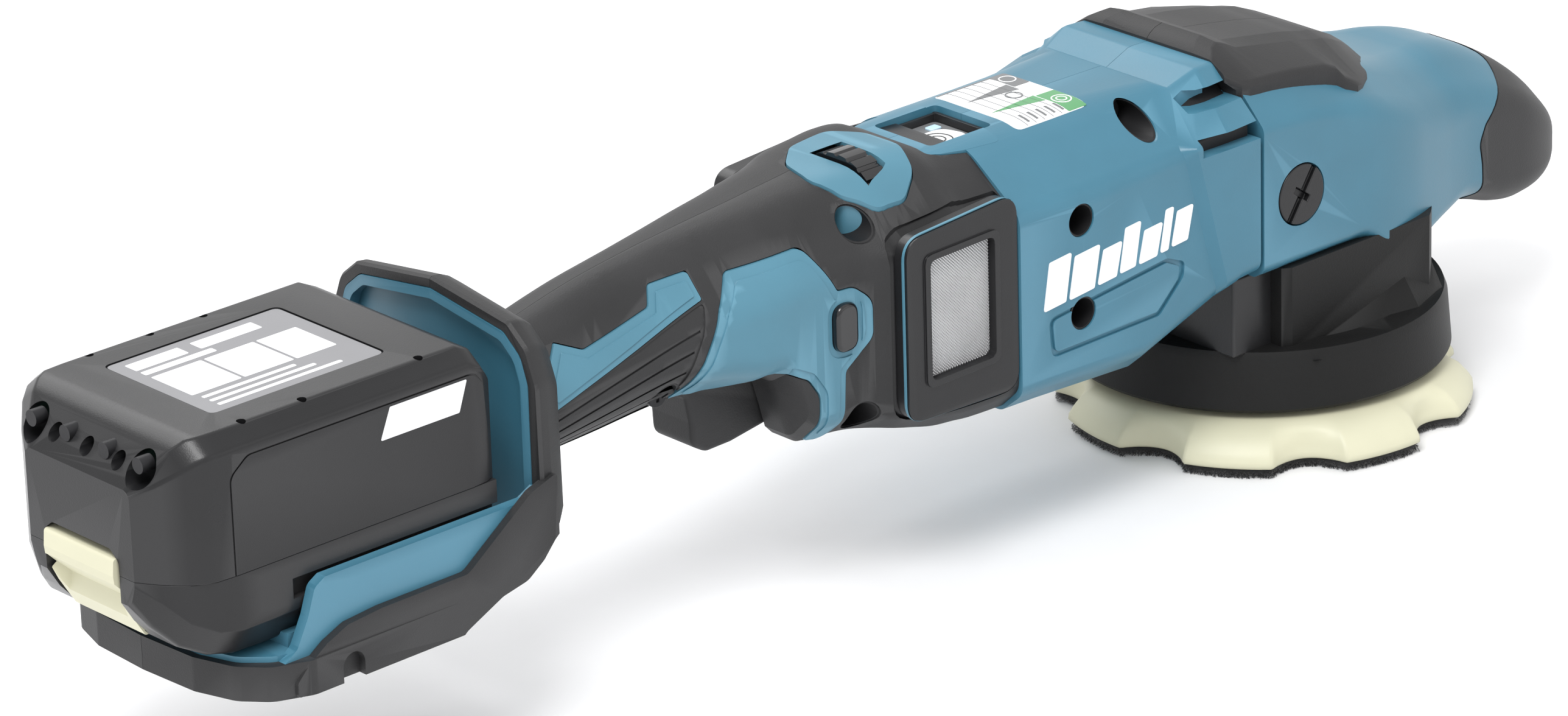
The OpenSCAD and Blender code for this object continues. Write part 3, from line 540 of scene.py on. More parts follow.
combine(motor, tongue, "UNION")
carve(motor, rect(-140.2, -12.6, -116.4, 10.4), 109.5, 140, "z", 2.0)


def bore_motor_wells():
    for c in wells:
        if c[0] > MIDDLE_X:
            bore(motor, c, WELL_R, -60, well_depths(c)[0], "y")


bore_motor_wells()
for z0, z1, x0, inner in ((100.4, 105.2, -64, 37.2), (110.6, 115.2, -61, 27.5)):
    for s in (-1, 1):
        lo, hi = flank(s, inner, 60)
        mill(motor, (x0, lo, z0), (-40, hi, z1))
        lo, hi = flank(s, inner - 6, 60)
        mill(motor, (-49.5, lo, z0 + 0.4), (-39, hi, z1 - 0.4))
# sunken field under the band on both sides, and the raised plate inside it
for s in (-1, 1):
    carve(motor, [(-121, 56.5), (-122, 68.5), (-76, 73.4), (-69, 70.5), (-69.5, 66), (-79, 57)],
          *flank(s, 38.7, 45), "y", [3, 3, 3, 2, 3, 3])
    raised = prism("c", [(-119.6, 58), (-120.4, 67.4), (-76, 72), (-71, 69.6), (-71.6, 66), (-80, 58.4)],
                   *flank(s, 38, 39.5), "y", TEAL, [2, 2, 2, 1.5, 2, 2])
    combine(motor, raised, "UNION")
bore_motor_wells()  # once more, since the raised plate has closed one of them
for name, side, node in (("motor_shell_near", -1, "housing_right"), ("motor_shell_far", 1, "housing_left")):
    place(soften(half(motor, name, side), 0.5), "tool", node, slot="teal_plastic")
bpy.data.objects.remove(motor, do_unlink=True)
place(soften(core, 0.3), "tool", "housing_left", "housing_right", slot="black_plastic")

# dark body inside the collar's slots, painted shade seen through them
vent_shade = hull("vent_painted_shade", motor_rows, DARK, -4.2)
mill(vent_shade, (-62, -60, 90), (-42.5, 60, 117), how="INTERSECT")
place(soften(vent_shade, 0.5), "tool", slot="black_plastic")

# screws sunk in the wells, their steel darkened as painted shade; each well lined with a dark tube that is
# painted shade on its wall
for i, c in enumerate(wells):
    deep = well_depths(c)[1]
    head_disc = rod(f"well_screw_{i}", c, 3.4, deep - 2.4, deep, "y", SCREW_SHADE_STEEL, 32)
    mill(head_disc, (c[0] - 0.5, deep - 4, c[1] - 1.9), (c[0] + 0.5, deep - 1.4, c[1] + 1.9))
    mill(head_disc, (c[0] - 1.9, deep - 4, c[1] - 0.5), (c[0] + 1.9, deep - 1.4, c[1] + 0.5))
    place(soften(head_disc, 0.3), "tool", "housing_screws", slot="steel")
    well_shade = rod(f"well_painted_shade_{i}", c, WELL_R - 0.08, -60, deep - 0.2, "y", DARK, 40)
    bore(well_shade, c, 4.25, -61, deep - 1.0, "y", 40)
    combine(well_shade, hull("c", motor_rows if c[0] > MIDDLE_X else grip_rows, DARK, -0.5), "INTERSECT")
    place(soften(well_shade, 0), "tool", slot="black_plastic")

# ---------- dial bezel, dial and mode panel ----------

DIAL_AXIS = (-7, 104)  # y and z of the wheel's axle
DIAL_R = 17.8
bezel = hull("bezel", grip_rows, TRIM, 0.6)
carve(bezel, bezel_pts, 100, 140, "z", 6.5, 8, how="INTERSECT")
bore(bezel, DIAL_AXIS, DIAL_R + 0.8, -170.8, -161.2, "x", 96)
place(soften(bezel, 0.4), "tool", "dial_bezel", slot="teal_trim")

dial = rod("speed_dial_wheel", DIAL_AXIS, DIAL_R, -169.8, -162.2, "x", GLOSS, 96)
for notch in circle(DIAL_AXIS, DIAL_R + 0.3, 24):
    bore(dial, notch, 1.0, -175, -157, "x", 10)
place(soften(dial, 0.3), "dial", "speed_dial", slot="gloss_black")

tray = block("mode_panel_tray", (-140, -12.4, 104), (-116.6, 10.2, 112.2), BLACK)
for lo, hi in (((-140, -12.4, 110), (-138.8, 10.2, 115.4)), ((-117.8, -12.4, 110), (-116.6, 10.2, 115.4)),
               ((-140, -12.4, 110), (-116.6, -11.4, 115.2)), ((-140, 9.2, 110), (-116.6, 10.2, 115.2))):
    combine(tray, block("c", lo, hi, BLACK), "UNION")
place(soften(tray, 0.25), "tool", "mode_panel", slot="gloss_black")
plate_top = prism("mode_plate", rect(-138.6, -11.2, -118, 9), 112.1, 113.1, "z", GREYM, 2)
button_outline = [(-137.6, -10.4), (-123, -10.4), (-121, -6), (-123, 1.4), (-137.6, 1.4)]
carve(plate_top, spread(button_outline, 0.35), 100, 120, "z", [2, 5, 5, 5, 2], 8)
place(soften(plate_top, 0.12), "tool", slot="grey_plastic")
button = prism("mode_button_cap", button_outline, 113.3, 114.5, "z", WHITE, [2, 5, 5, 5, 2], 8)
place(soften(button, 0.3), "mode", "mode_button", slot="white_label")
for i, (r_out, r_in) in enumerate(((4.6, 4.2), (2.6, 2.2))):
    ring_mark = rod(f"mode_icon_{i}", (-130, -4.6), r_out, 114.4, 114.62, "z", BLACK, 40)
    bore(ring_mark, (-130, -4.6), r_in, 114, 115, "z", 40)
    place(soften(ring_mark, 0), "mode", slot="gloss_black")
lens = prism("mode_lamp_lens", rect(-124.5, 3.4, -120.5, 6.4), 113.0, 113.6, "z", LENS, 0.6)
place(soften(lens, 0.15), "tool", "mode_lamp", slot="lamp_lens")

# ---------- speed chart and the white side bands ----------

def decal(name, rows, grow, thick, pts, lo, hi, axis, mat, r=0.0):
    """A thin film that follows a body's skin inside an outline."""
    film = hull(name, rows, mat, grow)
    combine(film, hull("inside", rows, DARK, grow - thick))
    return carve(film, pts, lo, hi, axis, r, how="INTERSECT")


chart_area = rect(-112.6, -18.4, -85.4, 15.6)
chart = decal("chart_film", motor_rows, 0.14, 0.3, chart_area, 100, 130, "z", WHITE, 2.4)
place(soften(chart, 0), "tool", "speed_chart", slot="white_label")
chart_marks = [
    ("chart_green", GREEN, rect(-92.5, -18.2, -85.6, -5), 0.4),
    ("chart_wedge_green", GREEN, [(-110.5, -6.2), (-93, -9.4), (-93, -4.4)], 0),
    ("chart_grey", GREYM, rect(-91.5, 4.6, -85.6, 15.4), 0.4),
    ("chart_wedge_grey", GREYM, [(-109.5, 4.6), (-92, 2.2), (-92, 7.4)], 0),
    ("chart_edge_grey", GREYM, [(-91.5, 14.6), (-91.5, 15.4), (-111.5, 15.4), (-111.5, 14.6)], 0),
]
for k in range(5):
    x = -108.2 + k * 3.3
    chart_marks.append((f"chart_rule_{k}", GREYL, rect(x, -18, x + 0.16, 14.4), 0))
    chart_marks.append((f"chart_tick_{k}", GREYM, rect(x + 1.3, -16.8, x + 2.1, -12.6), 0))
for name, mat, pts, rad in chart_marks:
    place(soften(decal(name, motor_rows, 0.24, 0.2, pts, 100, 130, "z", mat, rad), 0), "tool",
          slot="white_label")
for i, (c, r_out, r_in, mat) in enumerate((((-89, -11.6), 3.0, 2.6, WHITE), ((-89, -11.6), 1.7, 1.3, WHITE),
                                           ((-88.6, 10.4), 2.6, 2.2, WHITE),
                                           ((-96.5, -0.4), 2.6, 2.2, GREYM))):
    mark = decal(f"chart_icon_{i}", motor_rows, 0.32, 0.2, circle(c, r_out, 32), 100, 130, "z", mat)
    bore(mark, c, r_in, 90, 140, "z", 32)
    place(soften(mark, 0), "tool", slot="white_label")

# a row of plain slanted blocks where a maker would print its name: width, low z and high z
band_blocks = [(8.6, 71, 85), (9.8, 71.8, 84.2), (7.4, 73, 83), (6.2, 74, 87), (7.2, 74.6, 84.2),
               (3.2, 75.6, 88), (6.4, 76.2, 86.4)]
for s, tag in ((-1, "near"), (1, "far")):
    x = -124
    for k, (wide, low, high) in enumerate(band_blocks):
        pts = [(x, low), (x + wide, low + wide * 0.1), (x + wide + 2.4, high + wide * 0.1), (x + 2.4, high)]
        bar = decal(f"band_{tag}_{k}", motor_rows, 0.22, 0.4, pts, *flank(s, 34, 45), "y", WHITE, 0.8)
        place(soften(bar, 0), "tool", *(["side_bands"] if k == 0 else []), slot="white_label")
        x += wide + 1.2

# ---------- air inlet covers ----------

for s, side, tag in SIDES:
    outer = prism("dust_frame_" + tag, frame_pts, *flank(s, 34, 38.9), "y", BLACK, 6, 8)
    window = [(-166, 63.2), (-142, 63.6), (-142, 98.8), (-166, 98.2)]
    carve(outer, window, *flank(s, 30, 45), "y", 2.2)
    rim = prism("rim", spread(window, 1.9), *flank(s, 38, 39.6), "y", BLACK, 3)
    carve(rim, window, *flank(s, 30, 45), "y", 2.2)
    combine(outer, rim, "UNION")
    place(soften(outer, 0.45), "cover_" + side, "dust_frame_" + side, slot="black_plastic")

for s, tag in ((-1, "near"), (1, "far")):
    edge = prism("inlet_edge_" + tag, spread(frame_pts, 0.4), *flank(s, 37.2, 38.1), "y", TRIM, 7, 8)
    carve(edge, spread(frame_pts, 0.15), *flank(s, 30, 45), "y", 6.1, 8)
    if s > 0:
        mill(edge, (-190, 30, 100.5), (-150, 60, 120))
    place(soften(edge, 0.2), "tool", "inlay_right" if s < 0 else "inlay_left", slot="teal_trim")


def lattice(name, y, mat):
    """Fine crossed wires seen through the cover's window."""
    bm = bmesh.new()
    x0, x1, z0, z1, pitch, r = -167, -141, 62, 100, 0.95, 0.2

    def strand(a, b, off):
        a, b = Vector(a), Vector(b)
        d = (b - a).normalized()
        side = Vector((-d.z, 0, d.x)) * r
        depth = Vector((0, off, 0))
        ring = [side, Vector((0, -r, 0)), -side, Vector((0, r, 0))]
        lo = [bm.verts.new((a + q + depth) * MM) for q in ring]
        hi = [bm.verts.new((b + q + depth) * MM) for q in ring]
        for i in range(4):
            bm.faces.new((lo[i], lo[(i + 1) % 4], hi[(i + 1) % 4], hi[i]))
    w, h = x1 - x0, z1 - z0
    n = int((w + h) / pitch)
    for k in range(1, n):
        c = k * pitch
        # rising strand, then falling strand
        a = (x0, y, z0 + h - c) if c < h else (x0 + c - h, y, z0)
        b = (x0 + c, y, z1) if c < w else (x1, y, z0 + h - (c - w))
        strand(a, b, 0.1)
        a = (x0, y, z0 + c) if c < h else (x0 + c - h, y, z1)
        b = (x0 + c, y, z0) if c < w else (x1, y, z0 + c - w)
        strand(a, b, -0.1)
    bmesh.ops.recalc_face_normals(bm, faces=bm.faces)
    return new_piece(name, bm, mat)


MESHWIRE = shader("mesh_wire", (0.62, 0.62, 0.63), 0.35, metal=0.6, mottle=0.1)
for s, side, tag in SIDES:
    wires = lattice("dust_mesh_" + tag, s * 36.6, MESHWIRE)
    place(wires, "cover_" + side, "dust_mesh_" + side, slot="steel")
    back = prism("dust_mesh_backing_" + tag, rect(-167, 62, -141, 100), *flank(s, 35.2, 36), "y", GREYL)
    place(soften(back, 0.1), "cover_" + side, slot="steel")

# ---------- lock button and trigger ----------

lock = prism("lock_button_cap", rect(-192.5, 76, -184.5, 90), -31.0, 31.0, "y", GLOSS, 4, 8)
place(soften(lock, 1.2, 4), "lock", "lock_button", slot="gloss_black")

trigger_pts = [(-235, 77.5), (-235, 71), (-228, 68), (-226.4, 60), (-226, 53), (-221, 50), (-212, 50.2),
               (-200, 52), (-190.5, 54.2), (-187, 51), (-184.6, 45), (-181.4, 41.6), (-178, 42), (-176, 46),
               (-177, 58), (-184, 68), (-196, 74), (-206, 77)]
trigger = prism("trigger_lever_body", trigger_pts, -8.5, 8.5, "y", RUBBER,
                [2, 2, 2, 4, 4, 4, 4, 8, 5, 4, 3, 2.5, 2.5, 3, 4, 5, 4, 2])
place(soften(trigger, 2.2, 4), "trigger_lever", "trigger", slot="black_rubber")

# ---------- head ----------

# x, zb, wb, zl, w, zs, wt, zt, rb, rl, rs, rt, lean
head_rows_keys = [
    (-40, 57, 38.5, 60, 42.4, 102.2, 29, 116.2, 2, 3, 4, 8, 0),
    (-22, 57, 38.5, 60, 42.4, 101.6, 28.6, 114.8, 2, 3, 6, 9, 0),
    (-5, 57, 38.5, 60, 42.4, 99.4, 27.6, 111.4, 2, 3, 8, 12, 0),
    (3, 56, 38.5, 60, 42.4, 97.6, 26.6, 109.2, 2, 4, 10, 13, 0),
    (10, 50, 38, 55, 42.2, 95, 25.6, 106.6, 3, 4, 12, 14, 0),
    (17, 45.8, 38, 50, 41.6, 92, 24.4, 103.6, 3, 4, 13, 16, 0),
    (26, 44.8, 36.6, 49, 40, 88.5, 22.6, 100.2, 3, 4, 14, 18, 0),
    (36, 46, 32, 51, 37, 85.5, 20, 97.4, 3, 5, 15, 20, 0),
    (48, 48, 27.5, 52, 33, 83, 16.5, 95.2, 3, 5, 15, 20, 0),
    (58, 48.6, 23, 52.6, 30.3, 82, 14, 94.6, 4, 6, 14, 20, 0),
    (68, 45.4, 20, 50.5, 28.6, 79.6, 12.5, 92.4, 5, 7, 14, 20, 0),
    (79, 41.4, 18, 47, 27.2, 75.6, 11.6, 87.8, 6, 8, 14, 20, 0),
    (90, 38.4, 15.5, 45, 25.4, 70.6, 10.6, 81.4, 7, 9, 13, 18, 0),
    (99, 37.6, 13, 45, 22.6, 65.8, 9, 75.0, 7, 9, 12, 15, 0),
    (106, 38.4, 10, 46, 19, 61.4, 7.6, 69.0, 7, 8, 10, 12, 0),
    (111.5, 40.6, 7, 47.6, 14.2, 58, 5.6, 63.4, 6, 6, 8, 8, 0),
    (115, 44, 4, 49.6, 9, 55.4, 3.6, 58.6, 4, 4, 4, 4, 0),
    (116.6, 47.4, 2, 50.5, 4, 53.6, 2, 55, 1, 1, 1, 1, 0),
]
head_rows = eased(head_rows_keys, 2.5)


def nose_boundary(grow):
    """Side-view outline of the nose rubber; it sweeps forwards low down and back over the top."""
    pts = [(71, 130), (73, 92.6), (76.5, 89.4), (79.5, 87.4), (83.4, 84.6), (80.6, 81.2), (73, 76.4),
           (66.6, 71.6), (63.6, 66.4), (65, 59.6), (65.4, 51.6), (61, 44), (61, 10), (150, 10), (150, 130)]
    return spread(pts, grow)


head = hull("head", head_rows, TEAL)
nose = hull("nose", head_rows, RUBBER, 0.2)
carve(nose, nose_boundary(-0.2), -70, 70, "y", [1, 6, 6, 6, 3, 3, 4, 5, 5, 5, 5, 3, 1, 1, 1],
      how="INTERSECT")
carve(head, nose_boundary(0.2), -70, 70, "y", [1, 6, 6, 6, 3, 3, 4, 5, 5, 5, 5, 3, 1, 1, 1])
filler = hull("nose_core", head_rows, BLACK, -1.6)
mill(filler, (30, -60, 0), (110, 60, 120), how="INTERSECT")
for s in (-1, 1):
    bore(head, (-25, 79), 9.3, *flank(s, 38.4, 60), "y", 64)
bore(head, (0, 0), 38, 40, 60, "z", 96)
nose_near = half(nose, "nose_grip_near", -1)
nose_far = half(nose, "nose_grip_far", 1)
place(soften(nose_near, 0.5), "tool", "nose_grip", slot="black_rubber")
place(soften(nose_far, 0.5), "tool", slot="black_rubber")
bpy.data.objects.remove(nose, do_unlink=True)
head.name = "head_shell"
place(soften(head, 0.5), "tool", "head_cover", slot="teal_plastic")
place(soften(filler, 0.4), "tool", slot="black_plastic")

# rubber pad over the top of the head: a faceted slab that narrows to two tails
top_keys = [
    # x, side low z, half width, crease z, crease half width, top z
    (-43.8, 116.6, 30.8, 119.9, 25, 120.2),
    (-42.6, 115.4, 32.0, 120.8, 24.6, 121.4),
    (-40.4, 114.2, 34.4, 122.0, 22.4, 122.7),
    (-37.6, 113.9, 35.2, 122.7, 21, 123.3),
    (-34, 113.8, 35.3, 121.4, 21, 122),
    (-29.5, 113.6, 35.4, 119.0, 21, 119.8),
    (-20, 113.0, 35.8, 117.4, 21.4, 118.4),
    (-8, 111.4, 36.2, 115.2, 21.4, 116.4),
    (-4, 109.8, 36.6, 114.4, 21.4, 115.6),
    (-1.5, 106.6, 37.6, 113.8, 21.2, 115),
    (3, 103.8, 38, 112.6, 20.8, 113.8),
    (6.5, 102.8, 36.4, 112.0, 20, 113.2),
    (13, 101.6, 32, 109.4, 18, 110.6),
    (20, 100.2, 26, 106, 15, 107.2),
    (27, 98.4, 19.4, 102, 11, 103),
    (32, 96.8, 12, 98.8, 7, 99.4),
]


def top_section(row, drop=9.0):
    x, z0, w, z1, w1, z2 = row
    outline = [(w - 1, z0 - drop), (w, z0), (w1, z1), (w1 * 0.72, z2), (-w1 * 0.72, z2), (-w1, z1),
               (-w, z0), (-w + 1, z0 - drop)]
    return [(x, p.x, p.y) for p in rounded(outline, [0.5, 2.5, 2.5, 4, 4, 2.5, 2.5, 0.5], 4)]


top = loft("top_rubber", [top_section(r) for r in top_keys], RUBBER)
combine(top, hull("c", head_rows, DARK, -0.3))
combine(top, hull("c", motor_rows, DARK, -0.2))
for name, side in (("top_grip_near", -1), ("top_grip_far", 1)):
    piece = half(top, name, side)
    place(soften(piece, 0.7), "tool", "top_grip", slot="black_rubber")
bpy.data.objects.remove(top, do_unlink=True)

# side plugs: a long slot with a short wide one across it, both turned by 35 degrees
slot_turn = Matrix.Translation((-0.025, 0, 0.079)) @ Matrix.Rotation(math.radians(35), 4, "Y")
for s, side, tag, body in ((-1, "right", "near", "plug_r"), (1, "left", "far", "plug_l")):
    plug = rod("plug_" + tag, (-25, 79), 8.9, *flank(s, 30, 42.6), "y", BLACK, 72)
    for half_x, depth, half_z in ((1.1, 41.2, 12), (3.4, 40.6, 1.0)):
        lo, hi = flank(s, depth, 46)
        bar = block("c", (-half_x, lo, -half_z), (half_x, hi, half_z), DARK)
        bar.data.transform(slot_turn)
        combine(plug, bar)
    place(soften(plug, 0.9, 4), body, "plug_" + side, slot="gloss_black")

# ---------- skirt ----------

ring = lathe("skirt_ring", [(53.8, 15.6), (56.2, 15.6), (56.8, 16.6), (55.6, 31.0), (54.6, 33.6),
                            (46.5, 33.6), (46.5, 31.2), (51.6, 30.6)], (0, 0), SKIRT, 160)
neck = rod("neck", (0, 0), 50.8, 30, 57.5, "z", SKIRT, 128)
mill(neck, (-31, -42.1, 10), (70, 42.1, 80), how="INTERSECT")
combine(ring, neck, "UNION")
for s in (-1, 1):
    wedge = loft("wedge", [[(-27, s * 50, 30.5), (-27, s * 41, 30.5), (-26.5, s * 41, 31.2)],
                           [(18, s * 50, 30.5), (18, s * 38, 30.5), (18, s * 39.5, 45.0)],
                           [(34, s * 44, 30.5), (34, s * 30, 30.5), (34, s * 33.5, 47.5)]], SKIRT)
    combine(ring, wedge, "UNION")
bore(ring, (0, 0), 36.5, 47, 80, "z", 96)
bore(ring, (0, 0), 45, 10, 30.1, "z", 96)
bore(ring, (0, 0), 37, 32, 42.5, "z", 96)
place(soften(ring, 0.8), "tool", "skirt", slot="black_rubber")
back_wall = block("skirt_back_box", (-46, -36, 33), (-30, 36, 57), BLACK)
bore(back_wall, (0, 0), 45.5, 10, 43, "z", 96)
place(soften(back_wall, 0.8), "tool", slot="black_plastic")

# ---------- pad ----------

ORBIT = 7.5  # how far the pad's centre stands off the spindle's axis
ORBIT_ANGLE = math.radians(239)
PAD = (ORBIT * math.cos(ORBIT_ANGLE), ORBIT * math.sin(ORBIT_ANGLE))


def pad_radius(angle, base, depth):
    """Rim radius: eight rounded scallops."""
    phase = ((math.degrees(angle) - 12 + 22.5) % 45) - 22.5
    reach = max(0.0, 1 - (phase / 10.2) ** 2)
    return base - depth * reach**0.8


def pad_solid(name, layers, mat, n=512):
    """Stack of rings, each with its own radius, height and scallop depth."""
    bm = bmesh.new()
    rows = []
    for r, z, depth in layers:
        rows.append([bm.verts.new(Vector((PAD[0] + pad_radius(2 * math.pi * i / n, r,
                                                              depth) * math.cos(2 * math.pi * i / n),
                                          PAD[1] + pad_radius(2 * math.pi * i / n, r,
                                                              depth) * math.sin(2 * math.pi * i / n),
                                          z)) * MM) for i in range(n)])
    for a, b in zip(rows, rows[1:]):
        for i in range(n):
            bm.faces.new((a[i], a[(i + 1) % n], b[(i + 1) % n], b[i]))
    for i in range(n):
        a, b = rows[-1], rows[0]
        bm.faces.new((a[i], a[(i + 1) % n], b[(i + 1) % n], b[i]))
    tidy(bm)
    return new_piece(name, bm, mat)


pad = pad_solid("pad_body", [(7, 3, 0), (40, 3, 0), (60.4, 3, 7), (61.1, 3.6, 7.2), (60.9, 5.2, 7.2),
                             (59.4, 7.4, 6.4), (56.8, 10.2, 3.6), (52.4, 12.4, 1.0), (47, 13.6, 0),
                             (30, 14, 0), (7, 14, 0)], CREAM)
pad.data.shade_smooth()
place(pad, "pad_group", "backing_pad", slot="cream_plastic")
hook = pad_solid("hook_disc", [(7, 0.3, 0), (50, 0.2, 0), (58.6, 0.6, 7), (59.6, 1.8, 7.1),
                               (59.4, 2.95, 7.1), (40, 2.98, 0), (7, 2.98, 0)], HOOK)
hook.data.shade_smooth()
place(hook, "pad_group", "hook_layer", slot="hook_fabric")

fuzz = bmesh.new()
rng = random.Random(11)
for k in range(5200):
    a = rng.uniform(0, 2 * math.pi)
    r = pad_radius(a, 60.0, 7.1) - rng.uniform(0.1, 1.2)
    z = rng.uniform(0.3, 2.2)
    base = Vector((PAD[0] + r * math.cos(a), PAD[1] + r * math.sin(a), z))
    out = Vector((math.cos(a), math.sin(a), 0))
    along = Vector((-math.sin(a), math.cos(a), 0))
    tip = base + out * rng.uniform(0.0, 0.9) + along * rng.uniform(-0.6, 0.6)
    tip += Vector((0, 0, -rng.uniform(0.0, min(1.0, z))))
    mid = (base + tip) / 2 + out * rng.uniform(0.1, 0.5)
    w = along * 0.11
    v = [fuzz.verts.new(p * MM) for p in (base - w, base + w, mid + w, mid - w, tip + w * 0.5,
                                          tip - w * 0.5)]
    fuzz.faces.new((v[0], v[1], v[2], v[3]))
    fuzz.faces.new((v[3], v[2], v[4], v[5]))
place(new_piece("hook_fuzz", fuzz, HOOK), "pad_group", slot="hook_fabric")

# ---------- battery bay and bumper ----------

flange_pts = [(-38, 52), (-38, 104), (-35.4, 111.4), (-29, 116.6), (0, 120.6), (29, 116.6), (35.4, 111.4),
              (38, 104), (38, 52)]
flange = prism("flange", flange_pts, -307.6, -300, "x", TEAL, [1, 6, 6, 4, 3, 4, 6, 6, 1])
carve(flange, spread(flange_pts, -2.8), -320, -304, "x", [1, 6, 6, 4, 3, 4, 6, 6, 1])
bay = block("bay", (-388, -36, 52), (-297, 36, 59.6), TEAL)
for s in (-1, 1):
    strip = [(-393, 54), (-388.5, 57), (-384.5, 64.8), (-382, 72), (-378.6, 74), (-312, 74), (-307, 76.6),
             (-304, 78), (-304, 54), (-393, 54)]
    combine(bay, prism("c", strip, *flank(s, 37.4, 40.6), "y", TEAL, [1, 3, 5, 3, 1.5, 2, 3, 1, 1, 1]),
            "UNION")
combine(bay, flange, "UNION")
rim_half = [(-405, 0), (-404.2, -20), (-400.6, -31), (-394, -37.6), (-384, -40.5), (-322, -40.6)]
rim_pts = rim_half + [(x, -y) for x, y in rim_half[::-1]][0:-1]
carve(bay, [(-345, 33.5), (-336, 48), (-324, 54.4), (-316.4, 56), (-311.5, 59), (-304, 62.5), (-299, 67),
            (-290, 80), (-280, 84), (-280, 30)], -60, 60, "y")
combine(bay, prism("c", rim_pts, 52.6, 55.8, "z", TEAL, [1, 5, 8, 8, 5, 1, 1, 5, 8, 8, 5]), "UNION")
place(soften(bay, 0.7), "tool", "housing_left", "housing_right", slot="teal_plastic")

guard_keys = [
    # x, half width scale, rise
    (-307.4, 0.985, -0.6), (-306.4, 1.0, 0.0), (-303.8, 0.995, -0.3), (-300.8, 0.965, -1.6),
    (-297.4, 0.91, -4.2), (-296.0, 0.87, -6.4),
]
guard_outline = [(-43, 44.6), (-42.4, 60), (-41.6, 105), (-38, 114), (-31, 119.6), (0, 123.8), (31, 119.6),
                 (38, 114), (41.6, 105), (42.4, 60), (43, 44.6)]


def guard_ring(x, share, rise):
    pts = rounded(guard_outline, [3, 4, 7, 5, 3, 3, 3, 5, 7, 4, 3], 4)
    low = 44.6
    return [(x, p.x * share, low + (p.y - low) * (1 + rise / 80)) for p in pts]


guard = loft("guard", [guard_ring(*k) for k in guard_keys], RUBBER)
carve(guard, spread(flange_pts, 0.25), -320, -300.4, "x", [1, 6, 6, 4, 3, 4, 6, 6, 1])
bumper_half = [(-407.4, 0), (-406.4, -20), (-402.6, -32.4), (-396.4, -39.6), (-386, -43.8), (-304, -42.8)]
bumper_pts = bumper_half + [(x, -y) for x, y in bumper_half[::-1]][0:-1]
bumper = prism("bumper", bumper_pts, 44.6, 54.2, "z", RUBBER, [1, 5, 8, 8, 6, 1, 1, 6, 8, 8, 5], 6)
for s in (-1, 1):
    skirt_side = [(-391, 49), (-387, 53), (-381, 57), (-374, 60), (-363, 61), (-334, 61.2), (-312, 77),
                  (-303, 80), (-303, 45), (-391, 45)]
    combine(bumper, prism("c", skirt_side, *flank(s, 40.8, 43.2), "y", RUBBER,
                          [2, 3, 4, 4, 3, 4, 4, 1, 1, 1]), "UNION")
combine(bumper, guard, "UNION")
under_cut = [(-345, 30), (-336, 45), (-322.8, 51.2), (-314.2, 53), (-308.5, 57), (-304.5, 61.5), (-299, 66),
             (-290, 74), (-280, 80), (-280, 30)]
carve(bumper, under_cut, -60, 60, "y", [1, 6, 6, 6, 6, 4, 4, 3, 1, 1])
for s in (-1, 1):
    lo, hi = flank(s, 41, 60)
    bore(bumper, (-373, 48.6), 3.6, lo, hi, "y", 40)
    mill(bumper, (-376.6, lo, 38), (-369.4, hi, 48.6))
for name, side in (("bumper_near", -1), ("bumper_far", 1)):
    place(soften(half(bumper, name, side), 1.0, 4), "tool", "bay_bumper", slot="black_rubber")
bpy.data.objects.remove(bumper, do_unlink=True)

# ---------- battery ----------

pack_keys = [
    # x, z bottom, half width, z of the top edge, top half width, top z
    (-424.0, 81.0, 21.5, 104.0, 20.0, 105.6),
    (-420.4, 81.0, 27.5, 107.6, 24.0, 110.4),
    (-415.6, 81.0, 33.2, 112.0, 28.0, 116.0),
    (-412.2, 81.0, 35.6, 114.2, 30.0, 118.4),
    (-409.0, 81.0, 36.6, 115.0, 31.4, 119.0),
    (-403.0, 81.0, 37.0, 115.2, 31.8, 119.0),
    (-326.0, 81.0, 37.0, 115.2, 31.8, 119.0),
    (-321.0, 81.0, 36.6, 112.6, 31.0, 116.6),
    (-318.2, 81.0, 35.4, 109.0, 29.6, 112.6),
]


def pack_ring(row):
    x, zb, w, zs, wt, zt = row
    pts = [(w, zb), (w, zs), (wt, zt), (-wt, zt), (-w, zs), (-w, zb)]
    return [(x, p.x, p.y) for p in rounded(pts, [0.2, 2.4, 2.4, 2.4, 2.4, 0.2], 5)]


case = loft("pack_case", [pack_ring(r) for r in pack_keys], BLACK)
# label recess, test holes and the five holes in the sloping end
carve(case, rect(-397.5, -22.5, -340.5, 22.5), 118.4, 130, "z", 2.5)
for x, y in ((-395, 31.2), (-358, 31.2), (-375.5, -31.2), (-337.5, -31.2), (-375.5, 31.2), (-395, -31.2)):
    bore(case, (x, y), 1.25, 112, 130, "z", 24)
for y, r in ((-22, 4.6), (22, 4.6), (-13, 2.2), (0, 2.2), (13, 2.2)):
    bore(case, (y, 110.6), r, -440, -404, "x", 40)
# panel line round the side faces, and the opening above the release button
for s in (-1, 1):
    side_line = [(-404, 70), (-404, 108), (-398, 112.6), (-324, 112.6), (-319, 106), (-318.6, 70)]
    frame_out = prism("c", side_line, *flank(s, 36.6, 40), "y", DARK, [1, 4, 4, 4, 4, 1])
    carve(frame_out, spread(side_line, -0.5), *flank(s, 36, 41), "y", [1, 4, 4, 4, 4, 1])
    combine(case, frame_out)
carve(case, [(-15.4, 60), (15.4, 60), (15.4, 84.6), (12, 87.4), (-12, 87.4), (-15.4, 84.6)], -440, -416.6,
      "x", [1, 1, 2, 2, 2, 2])
place(soften(case, 0.8), "battery", "battery_upper", slot="black_plastic")

